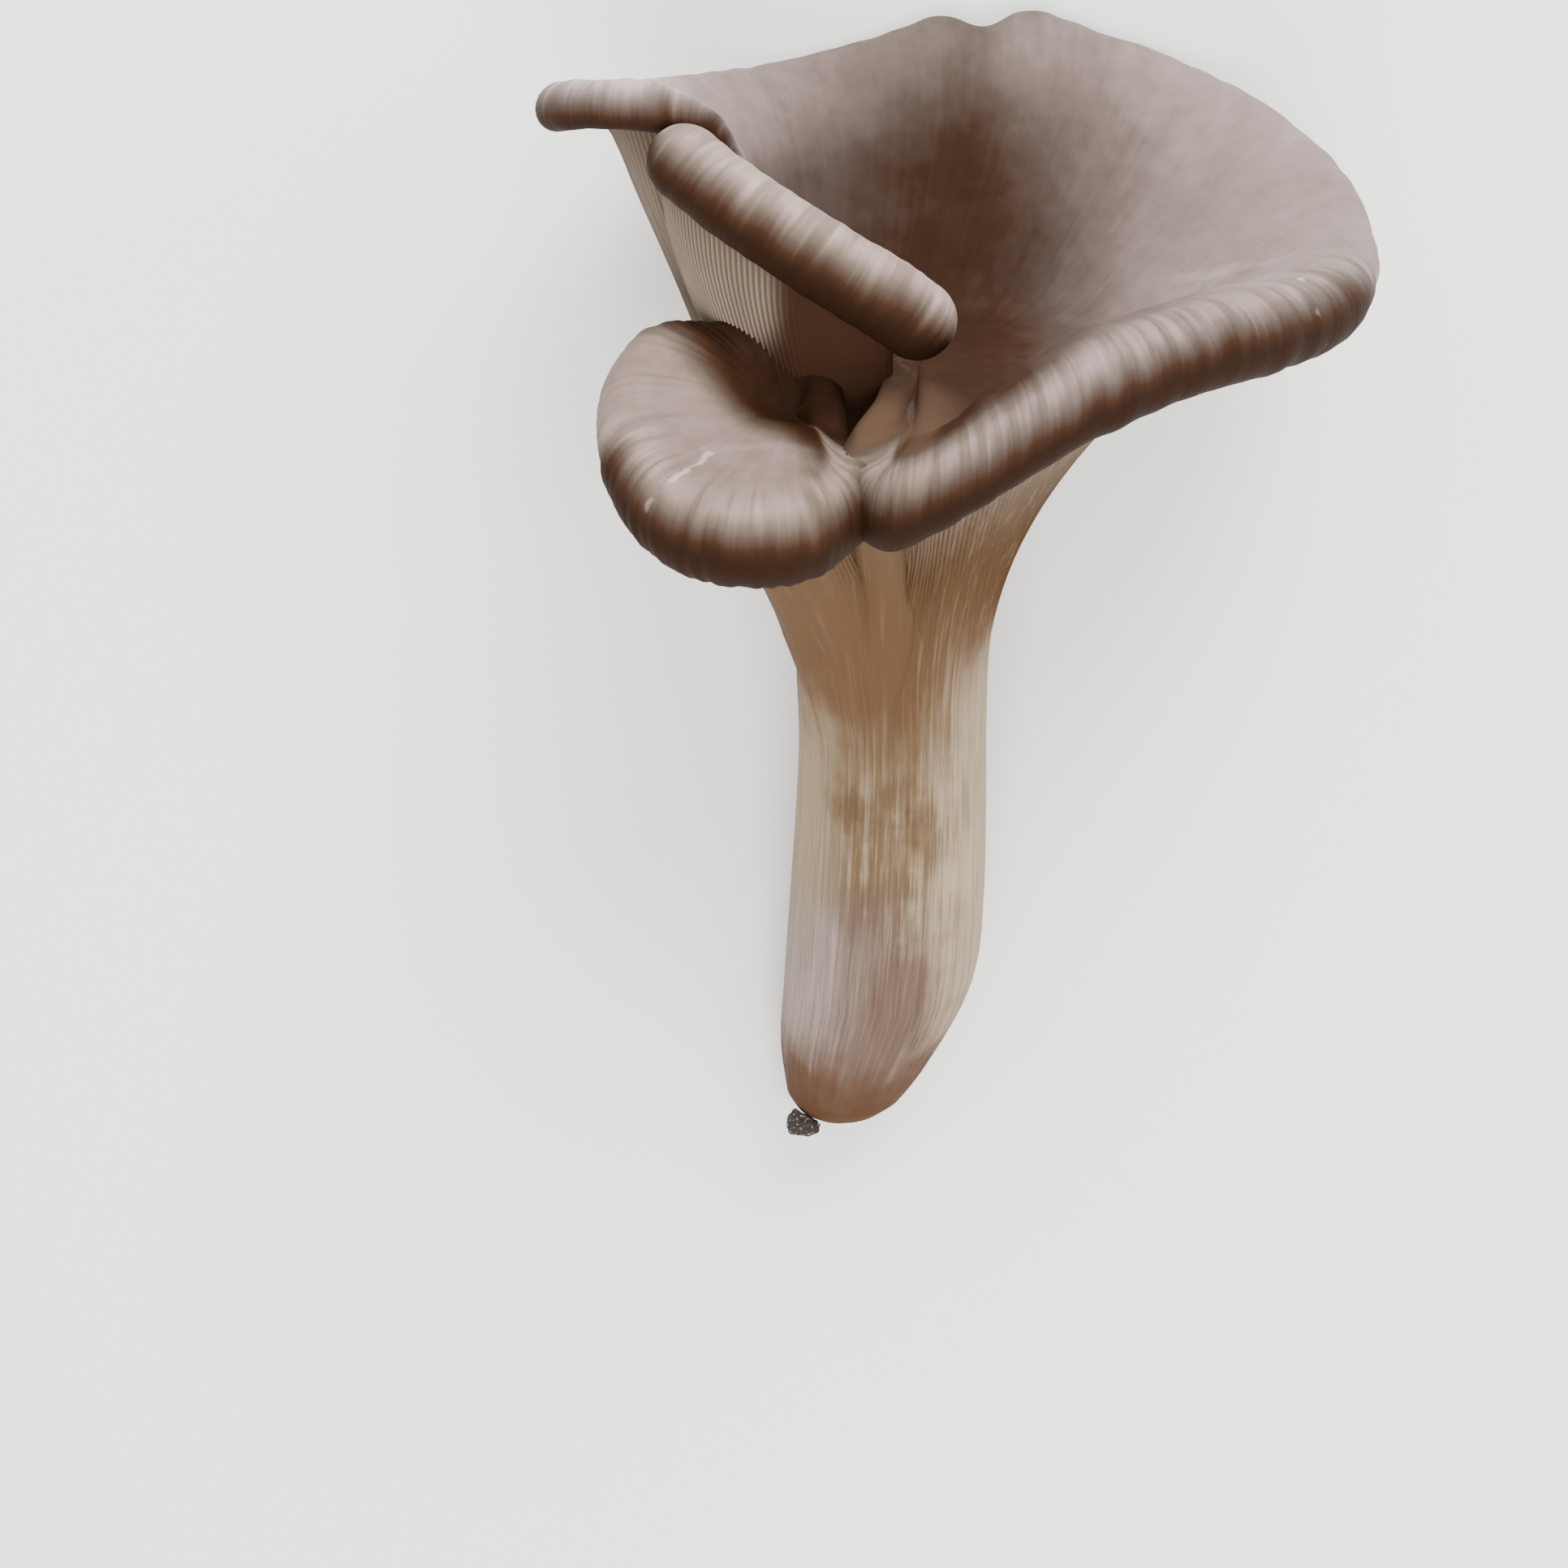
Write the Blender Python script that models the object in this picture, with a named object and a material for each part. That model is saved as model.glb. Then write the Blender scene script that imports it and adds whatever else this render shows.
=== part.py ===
"""King oyster mushroom with two fused caps, picked and lying on its back.

The mushroom is described as it grew: millimetres, +Z up the stem, -Y towards its open front, with
the origin on the stem's axis at the foot. It is then laid down: its back turns to the floor, its
cap points to +Y, and the origin of the finished part is under the middle of its box.
"""
import math
from types import SimpleNamespace

import bpy
import bmesh
import numpy as np
from mathutils import Vector, noise

COLLECTION = "king_oyster_mushroom"
MM = 0.001

# Stem, all in millimetres
STEM_RADIUS = 18.0          # the stem is 36 mm thick
NECK_HEIGHT = 96.0          # where the stem starts to widen into the cap
FOOT_SHIFT = -9.3           # the pointed foot lies this far off the stem's axis
FOOT_DROP = -2.2
STEM_PROFILE = [            # height, share of the foot's shift, share of the stem's radius
    (-1.5, 1.00, 0.14), (0.0, 0.97, 0.33), (3.0, 0.88, 0.56), (8.0, 0.73, 0.71), (15.0, 0.56, 0.84),
    (32.0, 0.13, 1.02), (50.0, 0.00, 1.03), (67.0, -0.05, 1.00), (85.0, -0.06, 0.97),
    (NECK_HEIGHT, -0.03, 0.98)]
FOOT_CROWDING = 1.35        # rings crowd towards the foot by this power

# Flesh
EDGE_THICK = 3.0            # thickness of the cap at its margin
EDGE_SHARE = 0.8            # and at most this share of the margin's roll

# The margin of the main cap, once round from the front end of the right lobe. Each row holds
# neck angle; x, y, z of the roll's centre; outward azimuth, rise, roll radius, curl; free share.
# Angles are in degrees. The free share says how far up the wall the calm part of it ends.
MAIN_MARGIN = [
    (-92, -4, -49, 151.5, -128, 5, 6.5, 150, 0.75),
    (-80, 1, -54, 155, -100, 10, 8.3, 185, 0.75),
    (-66, 11, -58, 163.5, -80, 15, 8.3, 190, 0.75),
    (-52, 20.5, -58, 171, -72, 12, 8.8, 185, 0.75),
    (-38, 33, -54, 176, -62, 10, 8, 175, 0.75),
    (-25, 47, -46, 178, -52, 8, 7.5, 165, 0.75),
    (-11, 60.5, -34, 177, -38, 5, 7.5, 160, 0.75),
    (4, 72.5, -18, 175.5, -20, 5, 7, 150, 0.75),
    (20, 79, 4, 176, 5, 10, 6, 135, 0.75),
    (38, 78, 26, 180.5, 28, 15, 5.5, 120, 0.75),
    (54, 68, 45, 186.5, 50, 20, 5, 115, 0.75),
    (68, 53.5, 60, 190.5, 68, 25, 5, 110, 0.75),
    (82, 38, 62.5, 195.5, 84, 28, 5, 110, 0.75),
    (94, 26.5, 63, 199, 90, 30, 5, 110, 0.75),
    (104, 18, 59, 197.5, 95, 32, 4.5, 105, 0.75),
    (114, 10, 62.5, 198, 95, 30, 5, 110, 0.75),
    (124, -2.5, 62.5, 194, 100, 30, 5, 110, 0.75),
    (138, -20.5, 58, 190.5, 118, 28, 5, 115, 0.75),
    (156, -40, 35, 194.5, 144, 24, 5, 130, 0.75),
    (172, -53.5, 12, 201, 170, 15, 4.6, 165, 0.8),
    (184, -58.5, 2, 204, 205, 8, 4.4, 180, 0.8),
    (196, -53.5, -5, 206.5, 240, 8, 4.2, 185, 0.8),
    (206, -42.5, -8, 207, 262, 8, 4.2, 180, 0.8),
    (214, -34.5, -8, 204.5, 255, 12, 3.6, 150, 0.8),
    (220, -29.5, -8, 200, 248, 20, 2.6, 100, 0.8),
    (227, -24, -8, 184, 240, 35, 2, 70, 0.75),
    (234, -17, -11, 172, 245, 50, 1.8, 50, 0.7),
    (241, -9, -15, 166, 238, 45, 1.8, 45, 0.65),
    (248, -2, -20, 164.5, 215, 25, 1.8, 45, 0.6),
    (254, -2.5, -28, 161.5, 180, 5, 1.9, 50, 0.6),
    (259, -6, -37, 159, 165, 0, 2.4, 80, 0.65),
    (264, -7.5, -44.5, 155.5, 185, 0, 4, 115, 0.7)]
# How a wall leaves the stem and meets the margin: neck angle, rise at the margin, pull at the
# stem, pull at the margin, thickness of the flesh at the stem
MAIN_WALL = [
    (-92, 45, 0.3, 0.3, 7), (-65, 38, 0.33, 0.3, 9), (-30, 30, 0.33, 0.35, 9), (10, 28, 0.33, 0.35, 9),
    (50, 35, 0.33, 0.35, 9), (90, 48, 0.33, 0.3, 9), (130, 55, 0.33, 0.3, 9), (175, 58, 0.25, 0.3, 9),
    (215, 62, 0.25, 0.3, 9), (245, 62, 0.3, 0.3, 7)]
# throat: where the cap's top ends. level: its wall turns into its floor at this height. calm and
# floor_calm: reach of the smoothing round the margin. home: how straight a low margin heads for
# the throat. pulls: of the floor's curve. start: the way the wall leaves the stem. hollows: dents
# in the cap's top, each with its x, y, two half lengths and depth.
MAIN_FORM = SimpleNamespace(
    foot=(FOOT_SHIFT - 0.2, 0.0, FOOT_DROP), throat=(5.0, 2.0, 158.5), level=162.0, calm=12.0,
    floor_calm=8.0, home=0.4, pulls=(0.3, 0.3), start=(0.0, 0.0, 1.0), gills=54,
    hollows=[(9.0, -34.0, 10.0, 18.0, 6.0)], stem=8, wall=8, brim=2, roll_in=3, edge=1, roll_out=4,
    top=12)

# The small second cap at the front left, described in the same way
SIDE_MARGIN = [
    (-60, -11, -50, 150.5, -60, 0, 7, 150, 0.75),
    (-38, -9, -45, 153, -12, 0, 6, 120, 0.75),
    (-14, -11.5, -36, 155, 0, -8, 3.5, 90, 0.75),
    (12, -11.8, -27, 160, 8, -5, 2.5, 70, 0.75),
    (40, -14, -20, 166, 45, 10, 2.5, 60, 0.75),
    (75, -22, -17, 170.5, 80, 20, 2.5, 60, 0.75),
    (110, -30.5, -19, 168.5, 110, 20, 4, 90, 0.75),
    (140, -39.5, -24, 168, 140, 20, 6, 120, 0.75),
    (165, -43.5, -31, 163.5, 165, 12, 7.2, 140, 0.75),
    (190, -43.5, -40, 158.5, 188, 8, 7.5, 155, 0.75),
    (213, -40.5, -48, 153.5, 210, 5, 8, 165, 0.75),
    (238, -34, -55, 150.5, 235, 0, 8.5, 175, 0.75),
    (262, -24.5, -59, 150.5, 262, 0, 8.7, 180, 0.75),
    (282, -16.5, -57, 150.5, 288, 0, 8.2, 175, 0.75)]
SIDE_WALL = [
    (-60, 40, 0.2, 0.2, 5), (0, 60, 0.2, 0.2, 5), (60, 70, 0.2, 0.3, 5), (120, 60, 0.2, 0.25, 5),
    (180, 45, 0.15, 0.2, 5), (240, 40, 0.15, 0.2, 5)]
SIDE_NECK = [               # height, x, y, radius: the small cap's own foot, sunk in the stem
    (78.0, -4.0, -5.5, 9.0), (90.0, -4.7, -6.3, 9.9), (100.0, -6.0, -7.8, 10.9),
    (110.0, -8.0, -10.0, 12.0)]
SIDE_FORM = SimpleNamespace(
    foot=(-3.0, -4.0, 75.0), throat=(-18.0, -26.0, 161.5), level=400.0, calm=6.0,
    floor_calm=3.0, home=0.75, pulls=(0.4, 0.3), start=(-0.2, -0.35, 0.9), gills=20,
    hollows=[(-16.0, -27.0, 13.0, 10.0, 4.0)], stem=3, wall=5, brim=2, roll_in=3, edge=1, roll_out=5,
    top=5)

# The thick rolled fold across the front: x, y, z and radius along its middle
FOLD_PATH = [
    (-36.5, -15.0, 199.5, 6.5), (-29.0, -20.0, 195.0, 6.6), (-20.0, -24.0, 190.0, 6.7),
    (-11.0, -27.0, 185.0, 6.8), (-3.0, -28.5, 180.5, 6.9), (2.5, -28.5, 176.5, 6.8)]
FOLD_FORM = SimpleNamespace(rows=9, sides=14, end=4)
# The web of flesh in the groove between the two caps' stems, given in the same way
WEB_PATH = [
    (-2.5, -11.0, 94.0, 6.0), (-2.6, -14.0, 104.0, 6.2), (-2.4, -18.3, 116.0, 6.6),
    (-2.5, -22.0, 127.0, 6.6), (-3.2, -27.5, 136.0, 6.0), (-4.5, -35.0, 144.5, 4.5)]
WEB_FORM = SimpleNamespace(rows=10, sides=14, end=3)
# The flat stalk that carries the fold: x, y, z, turn, tip, half length, half thickness
FOLD_STALK = [
    (-4, -6, 100, 0, 0, 9, 8), (-5, -8, 120, -2, 0, 11, 8), (-9.5, -11.5, 140, -8, -8, 13.5, 7.5),
    (-16.5, -15, 160, -15, -18, 16.5, 7), (-20, -17.5, 175, -19, -26, 22, 6),
    (-21, -20, 186, -20, -29, 24, 4.5)]
STALK_FORM = SimpleNamespace(rows=9, gills=18)

# Gills, larger than life and fewer than on the real mushroom
GILL_HEIGHT = 1.1
STALK_GILL_SHARE = 0.6      # those on the stalk are lower, by this share
STALK_GILLS_END = -15.0     # and they stand on its left only, up to this x
STALK_GILLS_FADE = 6.0
GILL_FADE_LOW = 74.0        # the gills run down the stem and end at this height
GILL_FADE_HIGH = 100.0
GILL_FADE_EDGE = 6          # power of their fading towards the margin

# Lying down
LYING_TILT = 16.2           # the stem's axis slopes up by this much from foot to cap
LIFT = 9.8                  # height of the stem's axis at the foot, less the flat resting spots
CENTRE_X = 11.36
CENTRE_Y = 104.79
FLOOR_BOX = 400.0

# Crumb of substrate on the foot
CRUMB_CENTRE = (-15.8, -6.0, 0.5)
CRUMB_SIZE = (3.6, 3.2, 2.7)
CRUMB_ROUGH = 0.45
CRUMB_LUMP_PITCH = 2.2
CRUMB_GAP = 0.35

WHOLE_TURN = 360.0
UP = np.array([0.0, 0.0, 1.0])
PATH_STEPS = 48             # fine steps of the cap's top before it is cut evenly
LOW_RIM = 2.0               # a margin less than this above the level counts as low
TALL_RIM = 12.0             # and one this much higher still counts as tall
MARGIN_FIRM = 2.0           # hollows start this far from the rolled margin
MARGIN_SOFT = 8.0           # and are as deep as they get this much further in


def unit(vectors):
    """The vectors scaled to length 1."""
    return vectors / np.maximum(np.linalg.norm(vectors, axis=-1, keepdims=True), 1e-9)


def smooth(share):
    """0 below 0, 1 above 1, and an S-curve between."""
    share = np.clip(share, 0, 1)
    return share * share * (3 - 2 * share)


def catmull_rom(before, start, end, after, part):
    """Catmull-Rom spline between start and end."""
    square = 2 * before - 5 * start + 4 * end - after
    cube = 3 * start - before - 3 * end + after
    return 0.5 * (2 * start + (end - before) * part + square * part ** 2 + cube * part ** 3)


def closed_spline(table, at):
    """Spline round a closed table; columns 0 and 4 are angles that gain a whole turn a lap."""
    count = len(table)
    first = np.floor(at).astype(int)
    gain = np.zeros(table.shape[1])
    gain[[0, 4]] = WHOLE_TURN

    def row(step):
        return table[(first + step) % count] + np.floor_divide(first + step, count)[:, None] * gain

    return catmull_rom(row(-1), row(0), row(1), row(2), (at - first)[:, None])


def open_spline(table, at):
    """Spline along an open table, with its end slopes carried straight on."""
    table = np.asarray(table, float)
    longer = np.concatenate([[2 * table[0] - table[1]], table, [2 * table[-1] - table[-2]]])
    first = np.clip(np.floor(at).astype(int), 0, len(table) - 2)
    rows = [longer[first + step] for step in range(4)]
    return catmull_rom(*rows, (at - first)[:, None])


def bezier(a, b, c, d, at):
    """Cubic Bezier curves, one for each column, at the given shares."""
    s = at[..., None]
    return (1 - s) ** 3 * a + 3 * (1 - s) ** 2 * s * b + 3 * (1 - s) * s ** 2 * c + s ** 3 * d


def hermite(xs, ys, at, closed=False):
    """Smooth curve through points; closed, it runs once round a whole turn."""
    slope = np.gradient(ys, xs)
    if closed:
        slope[0] = slope[-1] = (ys[1] - ys[-2]) / (xs[1] - xs[0] + xs[-1] - xs[-2])
    k = np.clip(np.searchsorted(xs, at, side="right") - 1, 0, len(xs) - 2)
    step = xs[k + 1] - xs[k]
    s = (at - xs[k]) / step
    rise = s * (1 - s) ** 2 * slope[k] + s * s * (s - 1) * slope[k + 1]
    return (1 + 2 * s) * (1 - s) ** 2 * ys[k] + s * s * (3 - 2 * s) * ys[k + 1] + step * rise


def aim(azimuth, rise):
    """Unit vectors along and square to a direction of that azimuth and rise, in radians."""
    flat = np.stack([np.cos(azimuth), np.sin(azimuth), 0 * azimuth], -1)
    c, s = np.cos(rise)[:, None], np.sin(rise)[:, None]
    return c * flat + s * UP, -s * flat + c * UP


def around_neck(wall, angle):
    """Every value of the wall table at the given neck angles, in degrees."""
    wall = np.array(wall, float)
    xs = np.append(wall[:, 0], wall[0, 0] + WHOLE_TURN)
    at = np.mod(angle - xs[0], WHOLE_TURN) + xs[0]
    return [hermite(xs, np.append(wall[:, k], wall[0, k]), at, closed=True) for k in range(1, 5)]


def spread(table, columns, neck_share=0.25):
    """Places of the columns round the margin: mostly by its length, partly by the neck's angle."""
    at = np.linspace(0, len(table), 4001)
    fine = closed_spline(table, at)
    along = np.linalg.norm(np.diff(fine[:, 1:4], axis=0), axis=1)
    around = np.radians(np.abs(np.diff(fine[:, 0]))) * 2.5 * STEM_RADIUS
    length = np.cumsum(along * (1 - neck_share) + around * neck_share + 1e-3)
    length = np.concatenate([[0], length])
    return np.interp(np.linspace(0, length[-1], columns + 1)[:-1], length, at)


def margin_columns(margin, columns):
    """The margin's values column by column, with the length along it."""
    table = np.array(margin, float)
    at = closed_spline(table, spread(table, columns))
    m = SimpleNamespace(neck=at[:, 0], azimuth=np.radians(at[:, 4]), centre=at[:, 1:4], roll=at[:, 6:7])
    m.out, m.square = aim(m.azimuth, np.radians(at[:, 5]))
    m.curl, m.free = np.radians(at[:, 7]), np.clip(at[:, 8], 0.2, 0.9)
    m.edge = np.minimum(EDGE_THICK, EDGE_SHARE * m.roll)
    m.inner = m.roll - m.edge
    steps = np.linalg.norm(np.roll(m.centre, -1, axis=0) - m.centre, axis=1)
    m.total = steps.sum()
    m.length = np.cumsum(steps) - steps
    return m


def calm(values, reach, m):
    """Running mean with a bell-shaped weight round the closed margin."""
    apart = np.abs(m.length[:, None] - m.length[None])
    apart = np.minimum(apart, m.total - apart)
    weight = np.exp(-0.5 * (apart / reach) ** 2)
    return (weight / weight.sum(1, keepdims=True)) @ values


def stem_rings(count, angle, profile):
    """Round rings up the stem, crowded at the foot; the last one of the profile is left out."""
    profile = np.array(profile, float)
    share = np.linspace(0, 1, count + 1)[:-1] ** FOOT_CROWDING
    z = profile[0, 0] + (profile[-1, 0] - profile[0, 0]) * share
    x, y, radius = (hermite(profile[:, 0], profile[:, k], z)[:, None] for k in (1, 2, 3))
    height = z[:, None] + 0 * angle
    return np.stack([x + radius * np.cos(angle), y + radius * np.sin(angle), height], -1)


def gill_side(m, wall, neck, form):
    """The cap from below: a curve from the neck to a calmed margin, and one from there into the
    roll. Gives its rows and the flesh's thickness at the stem."""
    end = m.centre + m.inner * m.square
    soft_end = calm(end, form.calm, m)
    heading = calm(np.stack([np.cos(m.azimuth), np.sin(m.azimuth)], 1), form.calm, m)
    rise, low, high, thick = around_neck(wall, m.neck)
    slope, _ = aim(np.arctan2(heading[:, 1], heading[:, 0]), np.radians(rise))
    height, x, y, radius = neck
    angle = np.radians(m.neck)
    flat = np.stack([np.cos(angle), np.sin(angle), 0 * angle], 1)
    ring = np.array([x, y, height]) + radius * flat
    span = np.linalg.norm(soft_end - ring, axis=1)[:, None]
    first_pull = unit(np.array(form.start)) * span * low[:, None]
    curve = (ring, ring + first_pull, soft_end - slope * span * high[:, None], soft_end)
    rows = bezier(*curve, np.linspace(0, 1, form.wall + 1)[:, None] * m.free)
    leaving = unit(bezier(*curve, m.free[None] + 0.01)[0] - bezier(*curve, m.free[None] - 0.01)[0])
    span = 0.4 * np.linalg.norm(end - rows[-1], axis=1)[:, None]
    share = np.linspace(0, 1, form.brim + 1)[1:, None] + 0 * m.free
    brim = bezier(rows[-1], rows[-1] + leaving * span, end - m.out * span, end, share)
    return np.concatenate([rows, brim]), thick


def rolled_margin(m, form):
    """The margin's roll: an arc inside, a half-round edge and an arc back outside."""
    def arc(radius, turn):
        turn = turn[..., None]
        return m.centre + radius * (np.cos(turn) * m.square + np.sin(turn) * m.out)

    inside = arc(m.inner, np.linspace(0, 1, form.roll_in + 1)[1:, None] * m.curl)
    outside = arc(m.roll, np.linspace(1, 0, form.roll_out + 1)[:, None] * m.curl)
    c, s = np.cos(m.curl)[:, None], np.sin(m.curl)[:, None]
    outward, onward = c * m.square + s * m.out, c * m.out - s * m.square
    turn = np.linspace(0, math.pi, form.edge + 2)[1:-1, None, None]
    bulge = m.edge / 2 * (np.sin(turn) * onward - np.cos(turn) * outward)
    return np.concatenate([inside, m.centre + (m.roll + m.inner) / 2 * outward + bulge, outside])


def evenly(path, count):
    """The path of every column cut into equal lengths; its first and last points are left out."""
    column = np.arange(path.shape[1])
    length = np.cumsum(np.linalg.norm(np.diff(path, axis=0), axis=2), axis=0)
    length = np.concatenate([np.zeros((1, len(column))), length])
    want = np.linspace(0, 1, count + 1)[1:-1, None] * length[-1]
    k = np.clip((length[None] <= want[:, None]).sum(1) - 1, 0, len(path) - 2)
    gap = np.maximum(length[k + 1, column] - length[k, column], 1e-9)
    part = ((want - length[k, column]) / gap)[..., None]
    return path[k, column] * (1 - part) + path[k + 1, column] * part


def cap_top(m, under, thick, form):
    """The cap's top: the gill side moved in by the flesh's thickness, followed down to the level
    where the margin is tall, and from there a curve along the floor to the throat."""
    pole = np.array(form.throat, float)
    share = np.linspace(0, 1, len(under))[:, None, None]
    tangent = unit(np.gradient(under, axis=0))
    inward = share * m.square + (1 - share) * unit(pole - under)
    inward = unit(inward - (inward * tangent).sum(-1, keepdims=True) * tangent)
    inward[-1] = m.square
    shell = under + inward * (m.edge + (thick[:, None] - m.edge) * (1 - share))
    last, column = len(under) - 1, np.arange(under.shape[1])
    k = np.clip((shell[..., 2] < form.level).sum(0) - 1, 0, last - 1)
    height, above = shell[k, column, 2], shell[k + 1, column, 2]
    leave = k + np.clip((form.level - height) / (above - height), 0, 1)
    tall = smooth((shell[-1, :, 2] - form.level - LOW_RIM) / TALL_RIM)
    tall = calm(tall, form.floor_calm, m)
    tall = np.where(tall < 0.02, 0, tall)
    leave = last - tall * (last - np.minimum(calm(leave, form.floor_calm, m), last - 1))
    row = leave + (last - leave) * np.linspace(1, 0, PATH_STEPS + 1)[:, None]
    k = np.clip(np.floor(row).astype(int), 0, last - 1)
    part = (row - k)[..., None]
    down = shell[k, column] * (1 - part) + shell[k + 1, column] * part
    gap = pole - down[-1]
    span = np.linalg.norm(gap, axis=1)[:, None]
    homeward = unit(gap - (gap * m.square).sum(-1, keepdims=True) * m.square)
    homeward = unit(homeward * form.home - m.out * (1 - form.home))
    falling = unit(down[-1] - down[-3] + 1e-12 * m.out)
    slope = unit(tall[:, None] * falling + (1 - tall)[:, None] * homeward)
    flat = unit(gap * np.array([1, 1, 0]))
    pulls = (down[-1] + slope * span * form.pulls[0], pole - flat * span * form.pulls[1])
    share = np.linspace(0, 1, PATH_STEPS + 1)[1:, None] + 0 * tall
    path = np.concatenate([down, bezier(down[-1], *pulls, pole, share)])
    return pressed(evenly(path, form.top), form.hollows)


def pressed(top, hollows):
    """The cap's top pressed down in oval hollows, but not at its margin."""
    step = np.linalg.norm(np.diff(top, axis=0), axis=2)
    run = np.concatenate([np.zeros((1, top.shape[1])), np.cumsum(step, axis=0)])
    for x, y, long_way, short_way, depth in hollows:
        far = np.hypot((top[..., 0] - x) / long_way, (top[..., 1] - y) / short_way)
        top[..., 2] -= depth * smooth(1 - far) * smooth((run - MARGIN_FIRM) / MARGIN_SOFT)
    return top


def raised(grid, gills, height):
    """The grid with gills: the ridges of a cosine wave round it, along the surface's normal."""
    wave = 0.5 + 0.5 * np.cos(2 * math.pi * gills * np.arange(grid.shape[1]) / grid.shape[1])
    across = np.roll(grid, -1, axis=1) - np.roll(grid, 1, axis=1)
    normal = unit(np.cross(across, np.gradient(grid, axis=0)))
    return grid + normal * (wave * height)[..., None]


def cap_grid(margin, wall, profile, form):
    """Rings of one cap with its stem: from the foot up the gill side, round the rolled margin and
    down the cap's top to the throat."""
    m = margin_columns(margin, 2 * form.gills)
    stem = stem_rings(form.stem, np.radians(m.neck), profile)
    under, thick = gill_side(m, wall, profile[-1], form)
    top = cap_top(m, under, thick, form)
    grid = np.concatenate([stem, under, rolled_margin(m, form), top])
    fade = np.zeros(len(grid))
    ridged = len(stem) + len(under)
    fade[:len(stem)] = 1
    fade[len(stem):ridged] = 1 - np.linspace(0, 1, len(under)) ** GILL_FADE_EDGE
    down_stem = np.clip((grid[..., 2] - GILL_FADE_LOW) / (GILL_FADE_HIGH - GILL_FADE_LOW), 0, 1)
    return raised(grid, form.gills, GILL_HEIGHT * fade[:, None] * down_stem)


def fold_grid(path, form):
    """Sausage of round section along a spline, with half-ball ends, and its two poles."""
    at = open_spline(path, np.linspace(0, len(path) - 1, form.rows))
    centre, radius = at[:, :3], at[:, 3]
    along = unit(np.gradient(centre, axis=0))
    side = unit(np.cross(UP, along))
    turn = np.linspace(0, math.pi / 2, form.end + 1)[1:-1]
    start = centre[0] - along[0] * radius[0] * np.sin(turn[::-1])[:, None]
    finish = centre[-1] + along[-1] * radius[-1] * np.sin(turn)[:, None]
    middle = np.concatenate([start, centre, finish])[:, None]
    size = np.concatenate([radius[0] * np.cos(turn[::-1]), radius, radius[-1] * np.cos(turn)])
    k = np.clip(np.arange(len(size)) - len(turn), 0, form.rows - 1)
    angle = np.linspace(0, 2 * math.pi, form.sides, endpoint=False)[None, :, None]
    around = np.cos(angle) * side[k][:, None] + np.sin(angle) * np.cross(along, side)[k][:, None]
    poles = (centre[0] - along[0] * radius[0], centre[-1] + along[-1] * radius[-1])
    return middle + size[:, None, None] * around, *poles


def stalk_grid(levels, form):
    """Upright flat stalk: a spline of ellipses, turned and tipped, with gills up its sides."""
    at = open_spline(levels, np.linspace(0, len(levels) - 1, form.rows))
    centre, turn, tip = at[:, :3], np.radians(at[:, 3]), np.radians(at[:, 4])
    long_way, _ = aim(turn, tip)
    short_way, _ = aim(turn + math.pi / 2, 0 * tip)
    angle = np.linspace(0, 2 * math.pi, 2 * form.gills, endpoint=False)[None, :, None]
    grid = centre[:, None] + at[:, 5, None, None] * np.cos(angle) * long_way[:, None]
    grid = grid + at[:, 6, None, None] * np.sin(angle) * short_way[:, None]
    height = smooth((STALK_GILLS_END - grid[..., 0]) / STALK_GILLS_FADE)
    height = height * GILL_HEIGHT * STALK_GILL_SHARE
    height[-1] = 0
    return raised(grid, form.gills, height), centre[0], centre[-1]


def lofted(name, grid, first, last):
    """Closed mesh object from rings of points and a pole at each end, still as it grew."""
    rows, columns = grid.shape[:2]
    points = np.concatenate([grid.reshape(-1, 3), [first, last]]) * MM
    row, column = np.meshgrid(np.arange(rows - 1) * columns, np.arange(columns), indexing="ij")
    here, beside = row + column, row + (column + 1) % columns
    lower = np.stack([here, beside, beside + columns], -1).reshape(-1, 3)
    upper = np.stack([here, beside + columns, here + columns], -1).reshape(-1, 3)
    ring, beyond = np.arange(columns), (np.arange(columns) + 1) % columns
    end, foot = (rows - 1) * columns, rows * columns
    bottom = np.stack([np.full(columns, foot), beyond, ring], 1)
    head = np.stack([np.full(columns, foot + 1), end + ring, end + beyond], 1)
    mesh = bpy.data.meshes.new(name)
    mesh.from_pydata(points.tolist(), [], np.concatenate([lower, upper, bottom, head]).tolist())
    return bpy.data.objects.new(name, mesh)


def lump(name):
    """A rough little ball of substrate, as it hangs on the foot."""
    shape = bmesh.new()
    bmesh.ops.create_icosphere(shape, subdivisions=3, radius=1.0)
    size, centre = Vector(CRUMB_SIZE), Vector(CRUMB_CENTRE)
    for vert in shape.verts:
        offset = noise.noise(vert.co * size / CRUMB_LUMP_PITCH + centre)
        vert.co = (vert.co * size * (1 + CRUMB_ROUGH * offset) + centre) * MM
    return finished(name, shape)


def floor_box(name):
    """A box that fills the space under the floor."""
    shape = bmesh.new()
    bmesh.ops.create_cube(shape, size=FLOOR_BOX * MM)
    bmesh.ops.translate(shape, verts=shape.verts, vec=(0, 0, -FLOOR_BOX / 2 * MM))
    return finished(name, shape)


def finished(name, shape):
    """The bmesh as an object."""
    mesh = bpy.data.meshes.new(name)
    shape.to_mesh(mesh)
    shape.free()
    return bpy.data.objects.new(name, mesh)


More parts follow.
